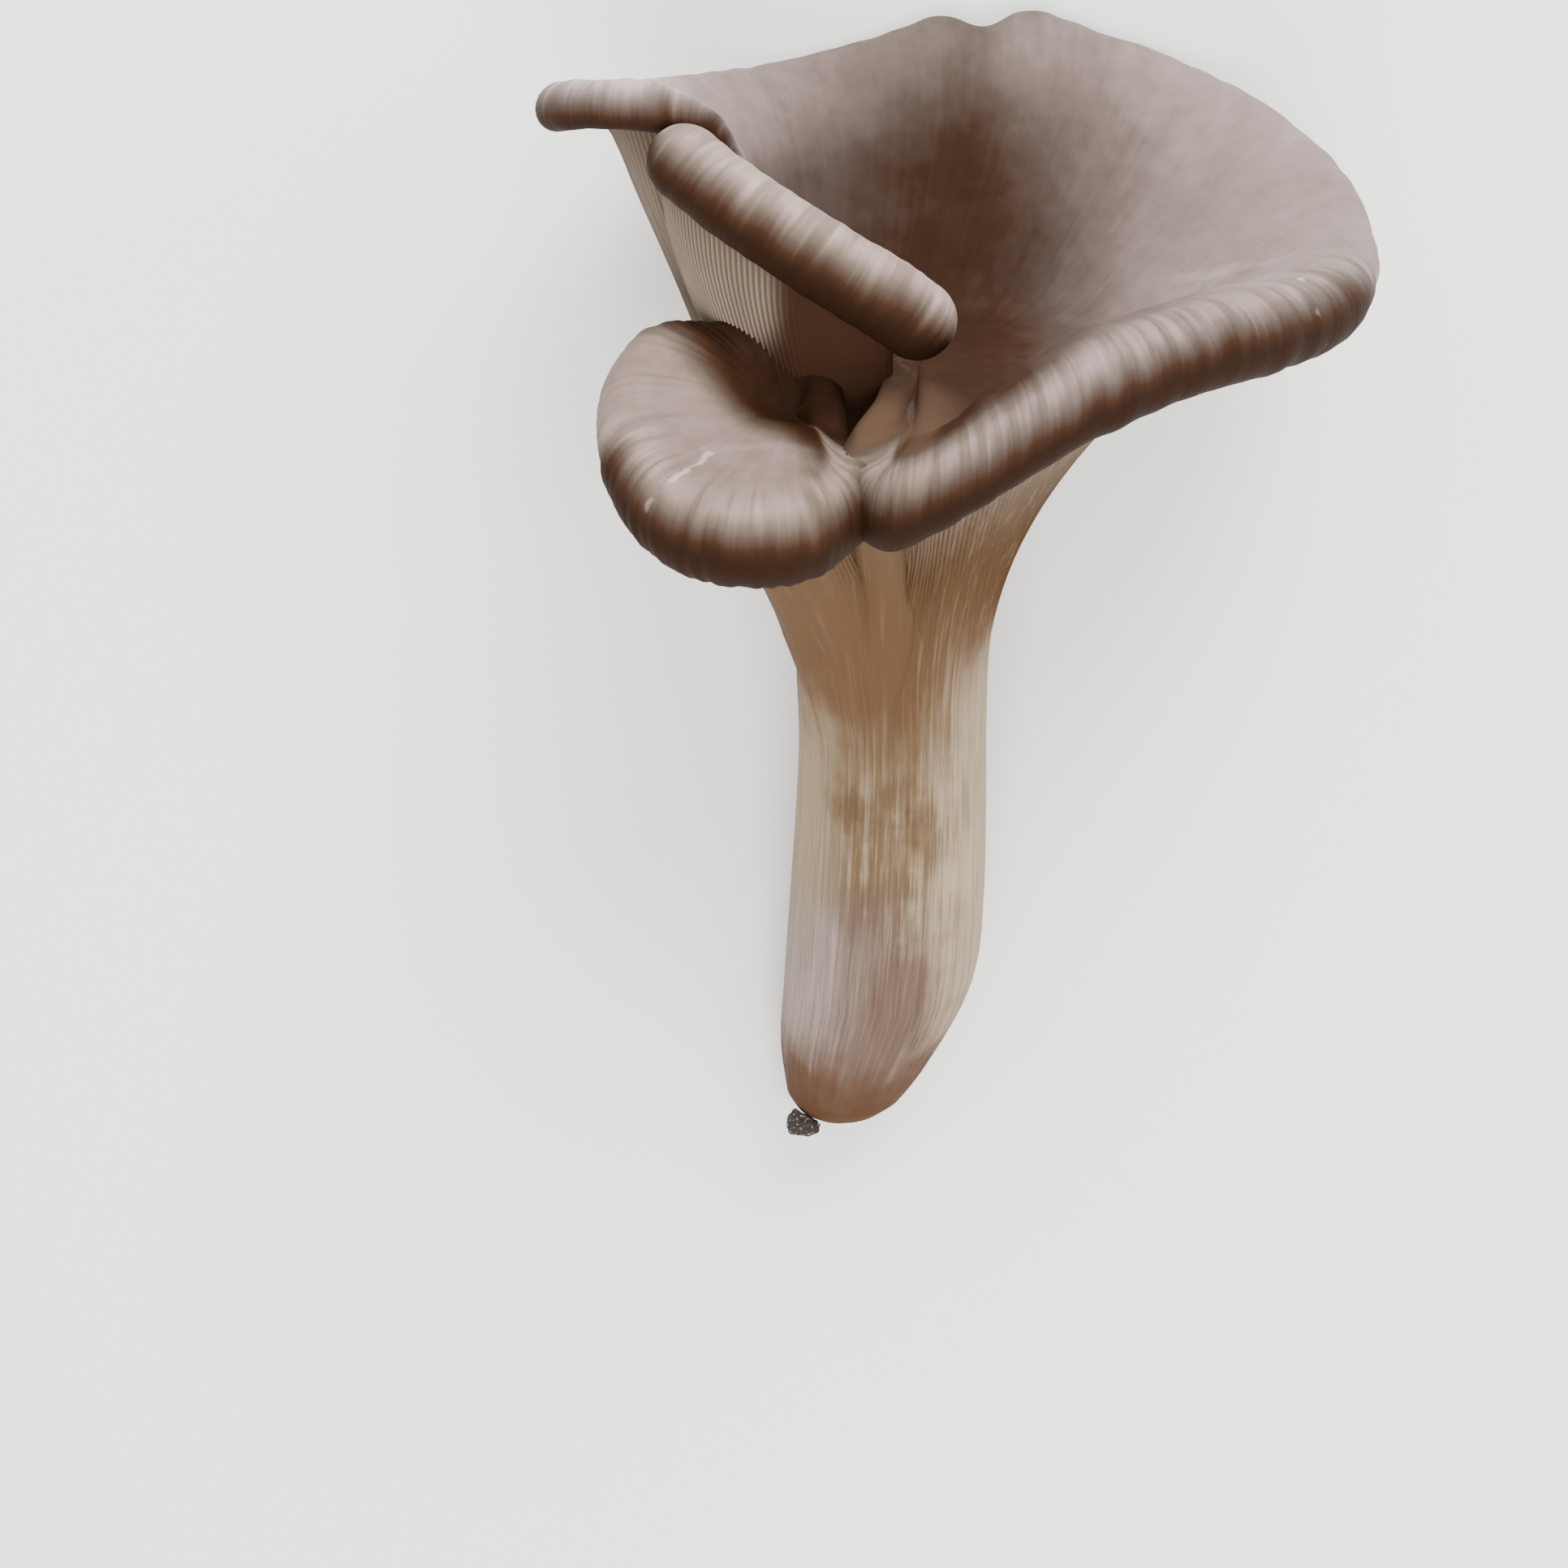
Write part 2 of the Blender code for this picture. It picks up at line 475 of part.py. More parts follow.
def combine(base, others, operation, helpers):
    """Joins the others with the base, or cuts them from it, and removes them."""
    for other in others:
        helpers.objects.link(other)
        other.hide_render = True
        other.display_type = "WIRE"
    modifier = base.modifiers.new("combined", "BOOLEAN")
    modifier.operation = operation
    modifier.operand_type = "COLLECTION"
    modifier.collection = helpers
    modifier.solver = "EXACT"
    evaluated = base.evaluated_get(bpy.context.evaluated_depsgraph_get())
    mesh = bpy.data.meshes.new_from_object(evaluated)
    base.modifiers.clear()
    base.data = mesh
    for other in others:
        bpy.data.objects.remove(other)


def lay_down(obj, helpers):
    """Turns a piece from the way it grew to the way it lies: the back turns down and the cap
    points to +Y. What would sink into the floor is cut off flat."""
    points = np.empty(3 * len(obj.data.vertices))
    obj.data.vertices.foreach_get("co", points)
    x, y, z = points.reshape(-1, 3).T / MM
    c, s = math.cos(math.radians(LYING_TILT)), math.sin(math.radians(LYING_TILT))
    placed = np.stack([x - CENTRE_X, s * y + c * z - CENTRE_Y, LIFT - c * y + s * z], -1) * MM
    obj.data.vertices.foreach_set("co", placed.ravel())
    obj.data.update()
    if placed[:, 2].min() < 0:
        combine(obj, [floor_box("floor")], "DIFFERENCE", helpers)


def coloured(obj, name, colour, roughness):
    """Gives the object its one material."""
    made = bpy.data.materials.new(name)
    made.use_nodes = True
    shader = made.node_tree.nodes["Principled BSDF"]
    shader.inputs["Base Color"].default_value = (*colour, 1)
    shader.inputs["Roughness"].default_value = roughness
    shader.inputs["Metallic"].default_value = 0
    obj.data.materials.clear()
    obj.data.materials.append(made)


def stem_profile(offset=0.0):
    """Height, x, y and radius of the stem, grown by an offset."""
    return [(z, FOOT_SHIFT * shift, 0.0, STEM_RADIUS * share + offset) for z, shift, share in STEM_PROFILE]


def fruit_body(collection, helpers):
    """Stem, main cap, fold and side cap, grown together as one solid."""
    grid = cap_grid(MAIN_MARGIN, MAIN_WALL, stem_profile(), MAIN_FORM)
    body = lofted("fruit_body", grid, MAIN_FORM.foot, grid[-1].mean(0))
    collection.objects.link(body)
    grid = cap_grid(SIDE_MARGIN, SIDE_WALL, SIDE_NECK, SIDE_FORM)
    side = lofted("side_cap", grid, SIDE_FORM.foot, grid[-1].mean(0))
    web = lofted("web", *fold_grid(WEB_PATH, WEB_FORM))
    fold = lofted("fold", *fold_grid(FOLD_PATH, FOLD_FORM))
    stalk = lofted("fold_stalk", *stalk_grid(FOLD_STALK, STALK_FORM))
    combine(body, [side, web, fold, stalk], "UNION", helpers)
    lay_down(body, helpers)
    coloured(body, "mushroom_flesh", (0.40, 0.31, 0.25), 0.6)


def substrate_crumb(collection, helpers):
    """Crumb of substrate stuck to the foot, cut back to leave a hair's gap to the stem."""
    crumb = lump("substrate_crumb")
    collection.objects.link(crumb)
    angle = np.linspace(0, 2 * math.pi, 48, endpoint=False)
    rings = stem_rings(12, angle, stem_profile(CRUMB_GAP)[:6])
    rings[..., 2] -= CRUMB_GAP
    foot = (FOOT_SHIFT - 0.2, 0, FOOT_DROP - CRUMB_GAP)
    combine(crumb, [lofted("foot_guard", rings, foot, (0, 0, rings[-1, 0, 2]))], "DIFFERENCE", helpers)
    lay_down(crumb, helpers)
    coloured(crumb, "dark_substrate", (0.05, 0.04, 0.03), 0.85)


def main():
    for obj in list(bpy.data.objects):
        bpy.data.objects.remove(obj)
    collection = bpy.data.collections.new(COLLECTION)
    helpers = bpy.data.collections.new("helpers")
    bpy.context.scene.collection.children.link(collection)
    bpy.context.scene.collection.children.link(helpers)
    fruit_body(collection, helpers)
    substrate_crumb(collection, helpers)


main()
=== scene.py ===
"""King oyster mushroom with two fused caps, picked and lying on its back, for a soft-lit studio.

Shapes are worked out in millimetres as the mushroom grew: +Z up the stem, -Y towards its open
front. lay_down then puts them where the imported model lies.
"""

import math
from types import SimpleNamespace

import bpy
import numpy as np
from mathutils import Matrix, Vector


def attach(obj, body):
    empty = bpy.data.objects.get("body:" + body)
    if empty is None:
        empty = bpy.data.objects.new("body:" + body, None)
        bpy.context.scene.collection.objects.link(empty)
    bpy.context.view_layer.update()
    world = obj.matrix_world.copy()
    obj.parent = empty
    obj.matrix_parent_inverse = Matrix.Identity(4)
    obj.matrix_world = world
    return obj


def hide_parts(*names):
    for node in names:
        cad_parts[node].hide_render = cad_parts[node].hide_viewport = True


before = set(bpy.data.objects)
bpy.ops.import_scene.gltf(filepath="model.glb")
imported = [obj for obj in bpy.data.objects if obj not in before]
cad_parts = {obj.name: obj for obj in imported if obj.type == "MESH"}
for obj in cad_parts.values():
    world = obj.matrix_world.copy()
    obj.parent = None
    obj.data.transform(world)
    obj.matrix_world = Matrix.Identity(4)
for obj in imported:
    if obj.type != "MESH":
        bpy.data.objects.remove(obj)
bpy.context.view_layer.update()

bl_info = {
    "name": "King Oyster Mushroom",
    "version": (1, 0, 0),
    "blender": (4, 5, 0),
    "location": "View3D > Sidebar > Mushroom",
    "description": "Builds a picked king oyster mushroom with a rolled, waved cap",
    "category": "Add Mesh",
}

MM = 0.001
UP = np.array([0.0, 0.0, 1.0])
WHOLE_TURN = 360.0

# Stem
STEM_RADIUS = 18.0
NECK_HEIGHT = 96.0
FOOT_SHIFT = -9.3
FOOT_DROP = -2.2
STEM_PROFILE = [            # height, share of the foot's shift, share of the stem's radius
    (-1.5, 1.00, 0.14), (0.0, 0.97, 0.33), (3.0, 0.88, 0.56), (8.0, 0.73, 0.71), (15.0, 0.56, 0.84),
    (32.0, 0.13, 1.02), (50.0, 0.00, 1.03), (67.0, -0.05, 1.00), (85.0, -0.06, 0.97),
    (NECK_HEIGHT, -0.03, 0.98)]
FOOT_CROWDING = 1.35
STEM_WAVE = 0.25            # height of the stem's shallow lengthwise flutes
FLUTES = (7, 11, 16, 23, 34)            # their counts round the stem
FLUTES_RISE = 30.0          # they rise over this height above the foot

# Flesh
EDGE_THICK = 3.0
EDGE_SHARE = 0.8

# The margin of the main cap, once round from the front end of the right lobe. Each row holds
# neck angle; x, y, z of the roll's centre; outward azimuth, rise, roll radius, curl; free share.
MAIN_MARGIN = [
    (-92, -4, -49, 151.5, -128, 5, 6.5, 150, 0.75),
    (-80, 1, -54, 155, -100, 10, 8.3, 185, 0.75),
    (-66, 11, -58, 163.5, -80, 15, 8.3, 190, 0.75),
    (-52, 20.5, -58, 171, -72, 12, 8.8, 185, 0.75),
    (-38, 33, -54, 176, -62, 10, 8, 175, 0.75),
    (-25, 47, -46, 178, -52, 8, 7.5, 165, 0.75),
    (-11, 60.5, -34, 177, -38, 5, 7.5, 160, 0.75),
    (4, 72.5, -18, 175.5, -20, 5, 7, 150, 0.75),
    (20, 79, 4, 176, 5, 10, 6, 135, 0.75),
    (38, 78, 26, 180.5, 28, 15, 5.5, 120, 0.75),
    (54, 68, 45, 186.5, 50, 20, 5, 115, 0.75),
    (68, 53.5, 60, 190.5, 68, 25, 5, 110, 0.75),
    (82, 38, 62.5, 195.5, 84, 28, 5, 110, 0.75),
    (94, 26.5, 63, 199, 90, 30, 5, 110, 0.75),
    (104, 18, 59, 197.5, 95, 32, 4.5, 105, 0.75),
    (114, 10, 62.5, 198, 95, 30, 5, 110, 0.75),
    (124, -2.5, 62.5, 194, 100, 30, 5, 110, 0.75),
    (138, -20.5, 58, 190.5, 118, 28, 5, 115, 0.75),
    (156, -40, 35, 194.5, 144, 24, 5, 130, 0.75),
    (172, -53.5, 12, 201, 170, 15, 4.6, 165, 0.8),
    (184, -58.5, 2, 204, 205, 8, 4.4, 180, 0.8),
    (196, -53.5, -5, 206.5, 240, 8, 4.2, 185, 0.8),
    (206, -42.5, -8, 207, 262, 8, 4.2, 180, 0.8),
    (214, -34.5, -8, 204.5, 255, 12, 3.6, 150, 0.8),
    (220, -29.5, -8, 200, 248, 20, 2.6, 100, 0.8),
    (227, -24, -8, 184, 240, 35, 2, 70, 0.75),
    (234, -17, -11, 172, 245, 50, 1.8, 50, 0.7),
    (241, -9, -15, 166, 238, 45, 1.8, 45, 0.65),
    (248, -2, -20, 164.5, 215, 25, 1.8, 45, 0.6),
    (254, -2.5, -28, 161.5, 180, 5, 1.9, 50, 0.6),
    (259, -6, -37, 159, 165, 0, 2.4, 80, 0.65),
    (264, -7.5, -44.5, 155.5, 185, 0, 4, 115, 0.7)]
# neck angle, rise at the margin, pull at the stem, pull at the margin, thickness at the stem
MAIN_WALL = [
    (-92, 45, 0.3, 0.3, 7), (-65, 38, 0.33, 0.3, 9), (-30, 30, 0.33, 0.35, 9), (10, 28, 0.33, 0.35, 9),
    (50, 35, 0.33, 0.35, 9), (90, 48, 0.33, 0.3, 9), (130, 55, 0.33, 0.3, 9), (175, 58, 0.25, 0.3, 9),
    (215, 62, 0.25, 0.3, 9), (245, 62, 0.3, 0.3, 7)]


def smooth(share):
    """0 below 0, 1 above 1, and an S-curve between."""
    share = np.clip(share, 0, 1)
    return share * share * (3 - 2 * share)


def rise(value, start, run):
    """0 up to the start, 1 from the start plus the run on; a negative run rises downwards."""
    return smooth((value - start) / run)


# Where the main cap's top is dark, partly its browner skin and partly painted shade: a plane through its
# throat and up its back wall
DARK_X = 12.0
DARK_REACH = 50.0           # it is light this far to the right, and to the left high up, partly painted light
DARK_REACH_LEFT = 75.0      # and this far to the left low down
BACK_WALL = 178.0           # height at which the back wall starts
# A valley of painted shade runs up the back wall at this x, this wide
VALLEY_X = 15.0
VALLEY_HALF = 5.0
CURL_X = -22.0              # the margin's far left curl lies beyond this x
CURL_Z = 196.0              # and above this height


def in_curl(x, z, run):
    """1 in the margin's far left curl, 0 elsewhere."""
    return rise(x, CURL_X, -run) * rise(z, CURL_Z, 6)


def main_tone_painted_light_and_shade(x, y, z):
    """Tone of the main cap's top, partly its own browns and partly painted light and shade: dark round the
    throat and up the back wall, light to its right and at its top where it faces up, with a valley of
    painted shade that runs up to the notch in the back margin."""
    narrower = (DARK_REACH_LEFT - DARK_REACH) * rise(z, BACK_WALL, 10)
    reach = np.where(x > DARK_X, DARK_REACH, DARK_REACH_LEFT - narrower)
    dark = 0.2 + 0.06 * rise(z, 168, 8) + 0.44 * rise(z, BACK_WALL, 22)
    light = 1.22 - 0.25 * rise(z, 160, 18)
    valley = 0.13 * np.exp(-((x - VALLEY_X) / VALLEY_HALF) ** 2) * rise(z, 172, 12)
    return dark + (light - dark) * smooth(np.abs(x - DARK_X) / reach) - valley + 0.22 * in_curl(x, z, 14)


def side_tone_painted_shade(x, y, z):
    """Tone of the side cap's top, partly its own browns and partly painted shade: dark on the wall beyond
    a slanting line, browner again towards its right, and darkest on the small lobe beside the main cap's
    mouth, where shade falls."""
    beyond = 0.73 * (x + 34) + (y + 26)
    right = 0.2 * rise(x, -21, 8) * rise(y, -58, 8)
    lobe = rise(x, -24, 6) * rise(y, -33, 6) * rise(z, 157, 5)
    return (0.1 + (0.82 - right) * rise(beyond, 4, -13)) * (1 - 0.8 * lobe)


# A form places its cap's foot and throat, the level of its floor, how far its margin's waves are
# calmed, and its curves' pulls; a hollow is x, y, half sizes and depth. Then come the heights
# between which its gills rise, the count of gills, and rings along a column in order. Last are how
# much further its roll's dark side, as painted shade, reaches at the front, in radii, and where its top's
# folds end.
MAIN_FORM = SimpleNamespace(
    foot=(FOOT_SHIFT - 0.2, 0.0, FOOT_DROP), throat=(5.0, 2.0, 158.5), level=162.0, calm=12.0,
    floor_calm=8.0, home=0.4, pulls=(0.3, 0.3), start=(0.0, 0.0, 1.0),
    hollows=[(9.0, -34.0, 10.0, 18.0, 6.0)], gill_low=98.0, gill_high=148.0, gills=312, stem=22,
    wall=24, brim=6, roll_in=6, edge=3, roll_out=11, top=28, band=1.35, folds=80.0, tone=main_tone_painted_light_and_shade)

SIDE_MARGIN = [
    (-60, -11, -50, 150.5, -60, 0, 7, 150, 0.75),
    (-38, -9, -45, 153, -12, 0, 6, 120, 0.75),
    (-14, -11.5, -36, 155, 0, -8, 3.5, 90, 0.75),
    (12, -11.8, -27, 160, 8, -5, 2.5, 70, 0.75),
    (40, -14, -20, 166, 45, 10, 2.5, 60, 0.75),
    (75, -22, -17, 170.5, 80, 20, 2.5, 60, 0.75),
    (110, -30.5, -19, 168.5, 110, 20, 4, 90, 0.75),
    (140, -39.5, -24, 168, 140, 20, 6, 120, 0.75),
    (165, -43.5, -31, 163.5, 165, 12, 7.2, 140, 0.75),
    (190, -43.5, -40, 158.5, 188, 8, 7.5, 155, 0.75),
    (213, -40.5, -48, 153.5, 210, 5, 8, 165, 0.75),
    (238, -34, -55, 150.5, 235, 0, 8.5, 175, 0.75),
    (262, -24.5, -59, 150.5, 262, 0, 8.7, 180, 0.75),
    (282, -16.5, -57, 150.5, 288, 0, 8.2, 175, 0.75)]
SIDE_WALL = [
    (-60, 40, 0.2, 0.2, 5), (0, 60, 0.2, 0.2, 5), (60, 70, 0.2, 0.3, 5), (120, 60, 0.2, 0.25, 5),
    (180, 45, 0.15, 0.2, 5), (240, 40, 0.15, 0.2, 5)]
SIDE_NECK = [               # height, x, y, radius
    (78.0, -4.0, -5.5, 9.0), (90.0, -4.7, -6.3, 9.9), (100.0, -6.0, -7.8, 10.9),
    (110.0, -8.0, -10.0, 12.0)]
SIDE_FORM = SimpleNamespace(
    foot=(-3.0, -4.0, 75.0), throat=(-18.0, -26.0, 161.5), level=400.0, calm=6.0,
    floor_calm=3.0, home=0.75, pulls=(0.4, 0.3), start=(-0.2, -0.35, 0.9),
    hollows=[(-16.0, -27.0, 13.0, 10.0, 4.0)], gill_low=124.0, gill_high=164.0, gills=120, stem=10,
    wall=18, brim=5, roll_in=6, edge=3, roll_out=14, top=26, band=1.5, folds=0.0, tone=side_tone_painted_shade)

# The thick rolled fold across the front: x, y, z and radius along its middle
FOLD_PATH = [
    (-36.5, -15.0, 199.5, 6.5), (-29.0, -20.0, 195.0, 6.6), (-20.0, -24.0, 190.0, 6.7),
    (-11.0, -27.0, 185.0, 6.8), (-3.0, -28.5, 180.5, 6.9), (2.5, -28.5, 176.5, 6.8)]
FOLD_FORM = SimpleNamespace(rows=130, sides=72, end=14, rolled=True)
# The web of flesh in the groove between the two caps' stems, given in the same way
WEB_PATH = [
    (-2.5, -11.0, 94.0, 6.0), (-2.6, -14.0, 104.0, 6.2), (-2.4, -18.3, 116.0, 6.6),
    (-2.5, -22.0, 127.0, 6.6), (-3.2, -27.5, 136.0, 6.0), (-4.5, -35.0, 144.5, 4.5)]
WEB_FORM = SimpleNamespace(rows=90, sides=72, end=12, rolled=False)
WEB_BELOW = 60.0            # its surface counts as this far below the margin
# The flat stalk that carries the fold: x, y, z, turn, tip, half length, half thickness
FOLD_STALK = [
    (-4, -6, 100, 0, 0, 9, 8), (-5, -8, 120, -2, 0, 11, 8), (-9.5, -11.5, 140, -8, -8, 13.5, 7.5),
    (-16.5, -15, 160, -15, -18, 16.5, 7), (-20, -17.5, 175, -19, -26, 22, 6),
    (-21, -20, 186, -20, -29, 24, 4.5)]
STALK_FORM = SimpleNamespace(rows=70, columns=480, gills=120)
STALK_GILL_SHARE = 0.4      # its gills are lower, by this share
STALK_GILLS_END = -15.0     # and they stand on its left only, up to this x
STALK_GILLS_FADE = 6.0
STALK_BELOW = 8.0           # its surface counts as this far below the margin, or further
STALK_LIT = -17.0           # it is in deep shade to the right of this x
STALK_LIT_HEIGHT = 164.0    # and below this height

# The roll along the margin, and the skin beside it
MARGIN_STEPS = 4000         # fine steps round the margin before it is cut into columns
NECK_WEIGHT = 2.5           # weight of the neck's angle against the margin's length in that
MARGIN_WAVES = (19, 26, 31, 43, 57, 71)     # counts of its small waves in a turn
ROLL_WAVES = (9, 14, 19, 27, 36)            # and of the fold's, in half a turn
BRIM_PULL = 0.4             # pull of the curve that runs into the roll, as a share of its span
TOP_CALM = 5.0              # reach of the running mean that takes the margin's waves off the top
TOP_CALM_RUN = 14.0         # it works in full from this distance of the roll on
# The front rolls are light up to near their edge, partly their paler margin and partly painted light on
# their lit tops
ROLL_TONE = 0.93            # tone of the rolled margin at the front
ROLL_LIGHT = 29.0           # it is as light as that up to this distance from the edge
OPEN_FRONT = -6.0           # the front ends at this y
CURL_BAND = 1.3             # the far left curl is dark this much further round than the rest
WAVED_ROLL = (2.5, 3.0)     # it has no waves up to this radius, and all of them this much above it
FOLD_WAVE = 0.45            # the fold's waves are lower than the margin's, by this share
FOLD_BAND = 11.5            # the fold is dark up to this distance from its lower edge, partly darker skin and partly painted shade
FOLD_TONE = 1.04
FOLD_LOW_SIDE = 1.9         # where its lower edge lies round its section, in radians
TOP_FOLDS = (8, 13, 17, 24)             # counts of the cap's shallow folds towards the throat
TOP_FOLDS_START = 12.0      # distance from the edge at which they start
FOLD_DEPTH = 0.7            # their greatest height
FOLD_RUN = 20.0             # length over which they come and go
# The roll's dark side is partly its darker underside and partly painted shade, which reaches further round
# where the margin faces the front and down
FACING = (0.45, 1.3)        # how the margin's outward way makes it the front's: level and slope
BAND_LEAST = 0.7            # the roll's dark side reaches this many radii from the edge, or more
BACK_LIGHT = 20.0           # the back has none: a place there counts as this much further from it

# Bruises on the stem's front: x, height, half width, half height, seed
BLOTCHES = [(0.5, 80.0, 4.0, 5.5, 3.0), (4.5, 74.0, 3.5, 5.0, 11.0), (-7.0, 76.0, 4.5, 6.0, 19.0)]

CRACKS = [                  # pale torn lines, each through these places
    [(-32.0, -46.5, 159.9), (-34.2, -50.5, 159.9), (-37.9, -55.3, 158.9), (-42.2, -57.8, 154.7)],
    [(66.7, -27.0, 183.4), (68.5, -34.8, 180.1), (71.3, -31.6, 173.2)]]
PALE_LINES = [              # soft pale streaks on the caps' tops
    [(-32.7, -45.4, 160.1), (-24.0, -43.5, 160.1), (-15.2, -43.2, 158.8)],
    [(51.1, 14.8, 168.1), (60.0, 6.6, 173.3), (65.5, -8.0, 178.5)]]
TONE_SPAN = 1.25            # the cap's colours run from tone 0 to this
STEM_SPAN = 120.0           # the stem's colours run from height 0 to this

# Noises on the skin: waves per millimetre, detail and roughness
CAP_CLOUDS = (0.06, 3.0, 0.55)
VELVET = (0.24, 4.0, 0.6)
MOTTLE = (0.45, 4.0, 0.65)
STEM_CLOUDS = (0.09, 3.0, 0.55)
FINE_FIBRES = (1.35, 3.0, 0.65)
COARSE_FIBRES = (0.30, 3.0, 0.6)
RAGGED = (0.35, 4.0, 0.6)
LUMPS = (0.9, 4.0, 0.7)
SPECKS = (1.6, 2.0, 0.5)
FINE_LENGTH = 0.035         # how far the fibres are drawn out along the stem, as a share
COARSE_LENGTH = 0.12
STREAK = (0.42, 0.028)      # streaks over the margin: waves per millimetre along it and across it
SHAKE = (3.5, 0.9)          # pitch and reach of the cracks' wandering
# The roll's stripes and its dark side, which is partly its darker underside and partly painted shade
STRIPE_DEPTH = 0.2          # how much darker the stripes make the roll
STRIPED = (13.0, 4.0)       # they end between these distances from the roll's dark side
DARK_SIDE = (-5.0, 5.0)     # and between these its dark side turns light
DARKEST = 0.08              # tone of its dark side

# Where the cap's top is warmer, and where the orange lip of the front lies: ranges of x, y and z
WARM_X, WARM_Y = (25.0, 0.0), (-8.0, -30.0)
WARM_TINT = (1.0, 0.97, 0.86)
LIP_LEFT, LIP_RIGHT, LIP_Y, LIP_Z = (-9.0, -7.0), (15.0, 4.0), (-8.0, -24.0), (168.0, 163.0)

# Zones of the stem: ranges of height, or of the distance to the right of its middle
# The cream up the stem's sides is partly its pale flesh and partly painted light, the sides lighter than
# the front
CREAM_RIGHT, CREAM_RIGHT_TOP = (4.0, 18.0), (118.0, 90.0)
CREAM_LEFT, CREAM_LEFT_TOP = (-6.0, -19.0), (112.0, 78.0)
CREAM_FOOT = (14.0, 34.0)
PATCHED_FOOT, PATCHED_TOP = (40.0, 58.0), (96.0, 80.0)
COOL_FOOT, COOL_TOP, COOL_LEFT = (12.0, 32.0), (58.0, 42.0), (-1.0, -15.0)
STREAKED = (10.0, 36.0)
SMOOTH_LEFT, SMOOTH_FOOT = (9.0, -1.0), (86.0, 102.0)   # few streaks under the side cap
GILLS_START = (122.0, 160.0)    # where the stem's colours turn into the gills'
SKIN_ROUGH = 0.68
SKIN_GLOSS = 0.05
SKIN_RELIEF = 1.0               # height of the skin's fine relief
CRUMB_RELIEF = 0.6

# Gills: long ones run down the stem, and short ones start further up between them
GILL_SIDES = 3              # columns to a gill
GILL_RANKS = 4              # one gill in so many is a long one
GILL_START = (-1.0, 0.55, 0.25, 0.7)    # share of the wall at which each rank starts
GILL_RISE = 0.15            # and the share over which it rises
GILL_FADE_EDGE = 6          # power of their fading towards the margin

# Lying down
LYING_TILT = 16.2
LIFT = 9.8
CENTRE_X = 11.36
CENTRE_Y = 104.79

# Crumb of substrate on the foot
CRUMB_CENTRE = (-15.8, -6.0, 0.5)
CRUMB_SIZE = (3.6, 3.2, 2.7)
CRUMB_ROUGH = 0.45
CRUMB_LUMP_PITCH = 5.0
CRUMB_GRAIN = 0.12
CRUMB_GRAIN_PITCH = 1.3
CRUMB_WAVES = 9             # its lumps are a sum of this many waves
CRUMB_ROWS = 40
CRUMB_COLUMNS = 72
CRUMB_GAP = 0.35

# Camera, in the growing frame
VIEW_ELEVATION = 28.0       # the photograph looks down on the upright mushroom by this much
VIEW_TARGET = (-19.8, 0.0, 73.0)
VIEW_DISTANCE = 650.0
SENSOR = 36.0
IMAGE_PIXELS = 1932.0
FOCAL_PIXELS = 4225.0

# Floor and lights, in metres
FLOOR_HALF = 6.0
FLOOR_PAINT = (0.93, 0.93, 0.92)
LIGHT_TARGET = (0.0, 0.02, 0.05)
KEY_SPOT = (0.35, 1.15, 1.05)
KEY_SIZE = 0.9
FILL_SPOT = (0.0, -0.5, 1.3)
FILL_SIZE = 0.9
WORLD_COLOUR = (1.0, 0.99, 0.97)
WORLD_STRENGTH = 1.35

PATH_STEPS = 48             # fine steps of the cap's top before it is cut evenly
LOW_RIM = 2.0               # a margin less than this above the level counts as low
TALL_RIM = 12.0             # and one this much higher still counts as tall
MARGIN_FIRM = 2.0           # hollows start this far from the rolled margin
MARGIN_SOFT = 8.0           # and are as deep as they get this much further in


class MushroomSizes(bpy.types.PropertyGroup):
    """Sizes a user would change"""
    gill_height: bpy.props.FloatProperty(
        name="Gill height", description="How far the gills stand out of the flesh",
        default=1.3 * MM, unit="LENGTH")
    margin_wave: bpy.props.FloatProperty(
        name="Margin wave", description="Height of the small waves along the rolled margin",
        default=0.35 * MM, unit="LENGTH")
    stripe_pitch: bpy.props.FloatProperty(
        name="Stripe pitch", description="Distance between the fine stripes across the margin",
        default=2.6 * MM, unit="LENGTH")
    key_power: bpy.props.FloatProperty(
        name="Key light", description="Power of the large soft light at the cap's side",
        default=32.0, unit="POWER")
    fill_power: bpy.props.FloatProperty(
        name="Fill light", description="Power of the weak light at the foot's side",
        default=21.0, unit="POWER")


def colour_property(label, words, colour):
    return bpy.props.FloatVectorProperty(
        name=label, description=words, default=colour, subtype="COLOR", size=3, min=0, max=1)


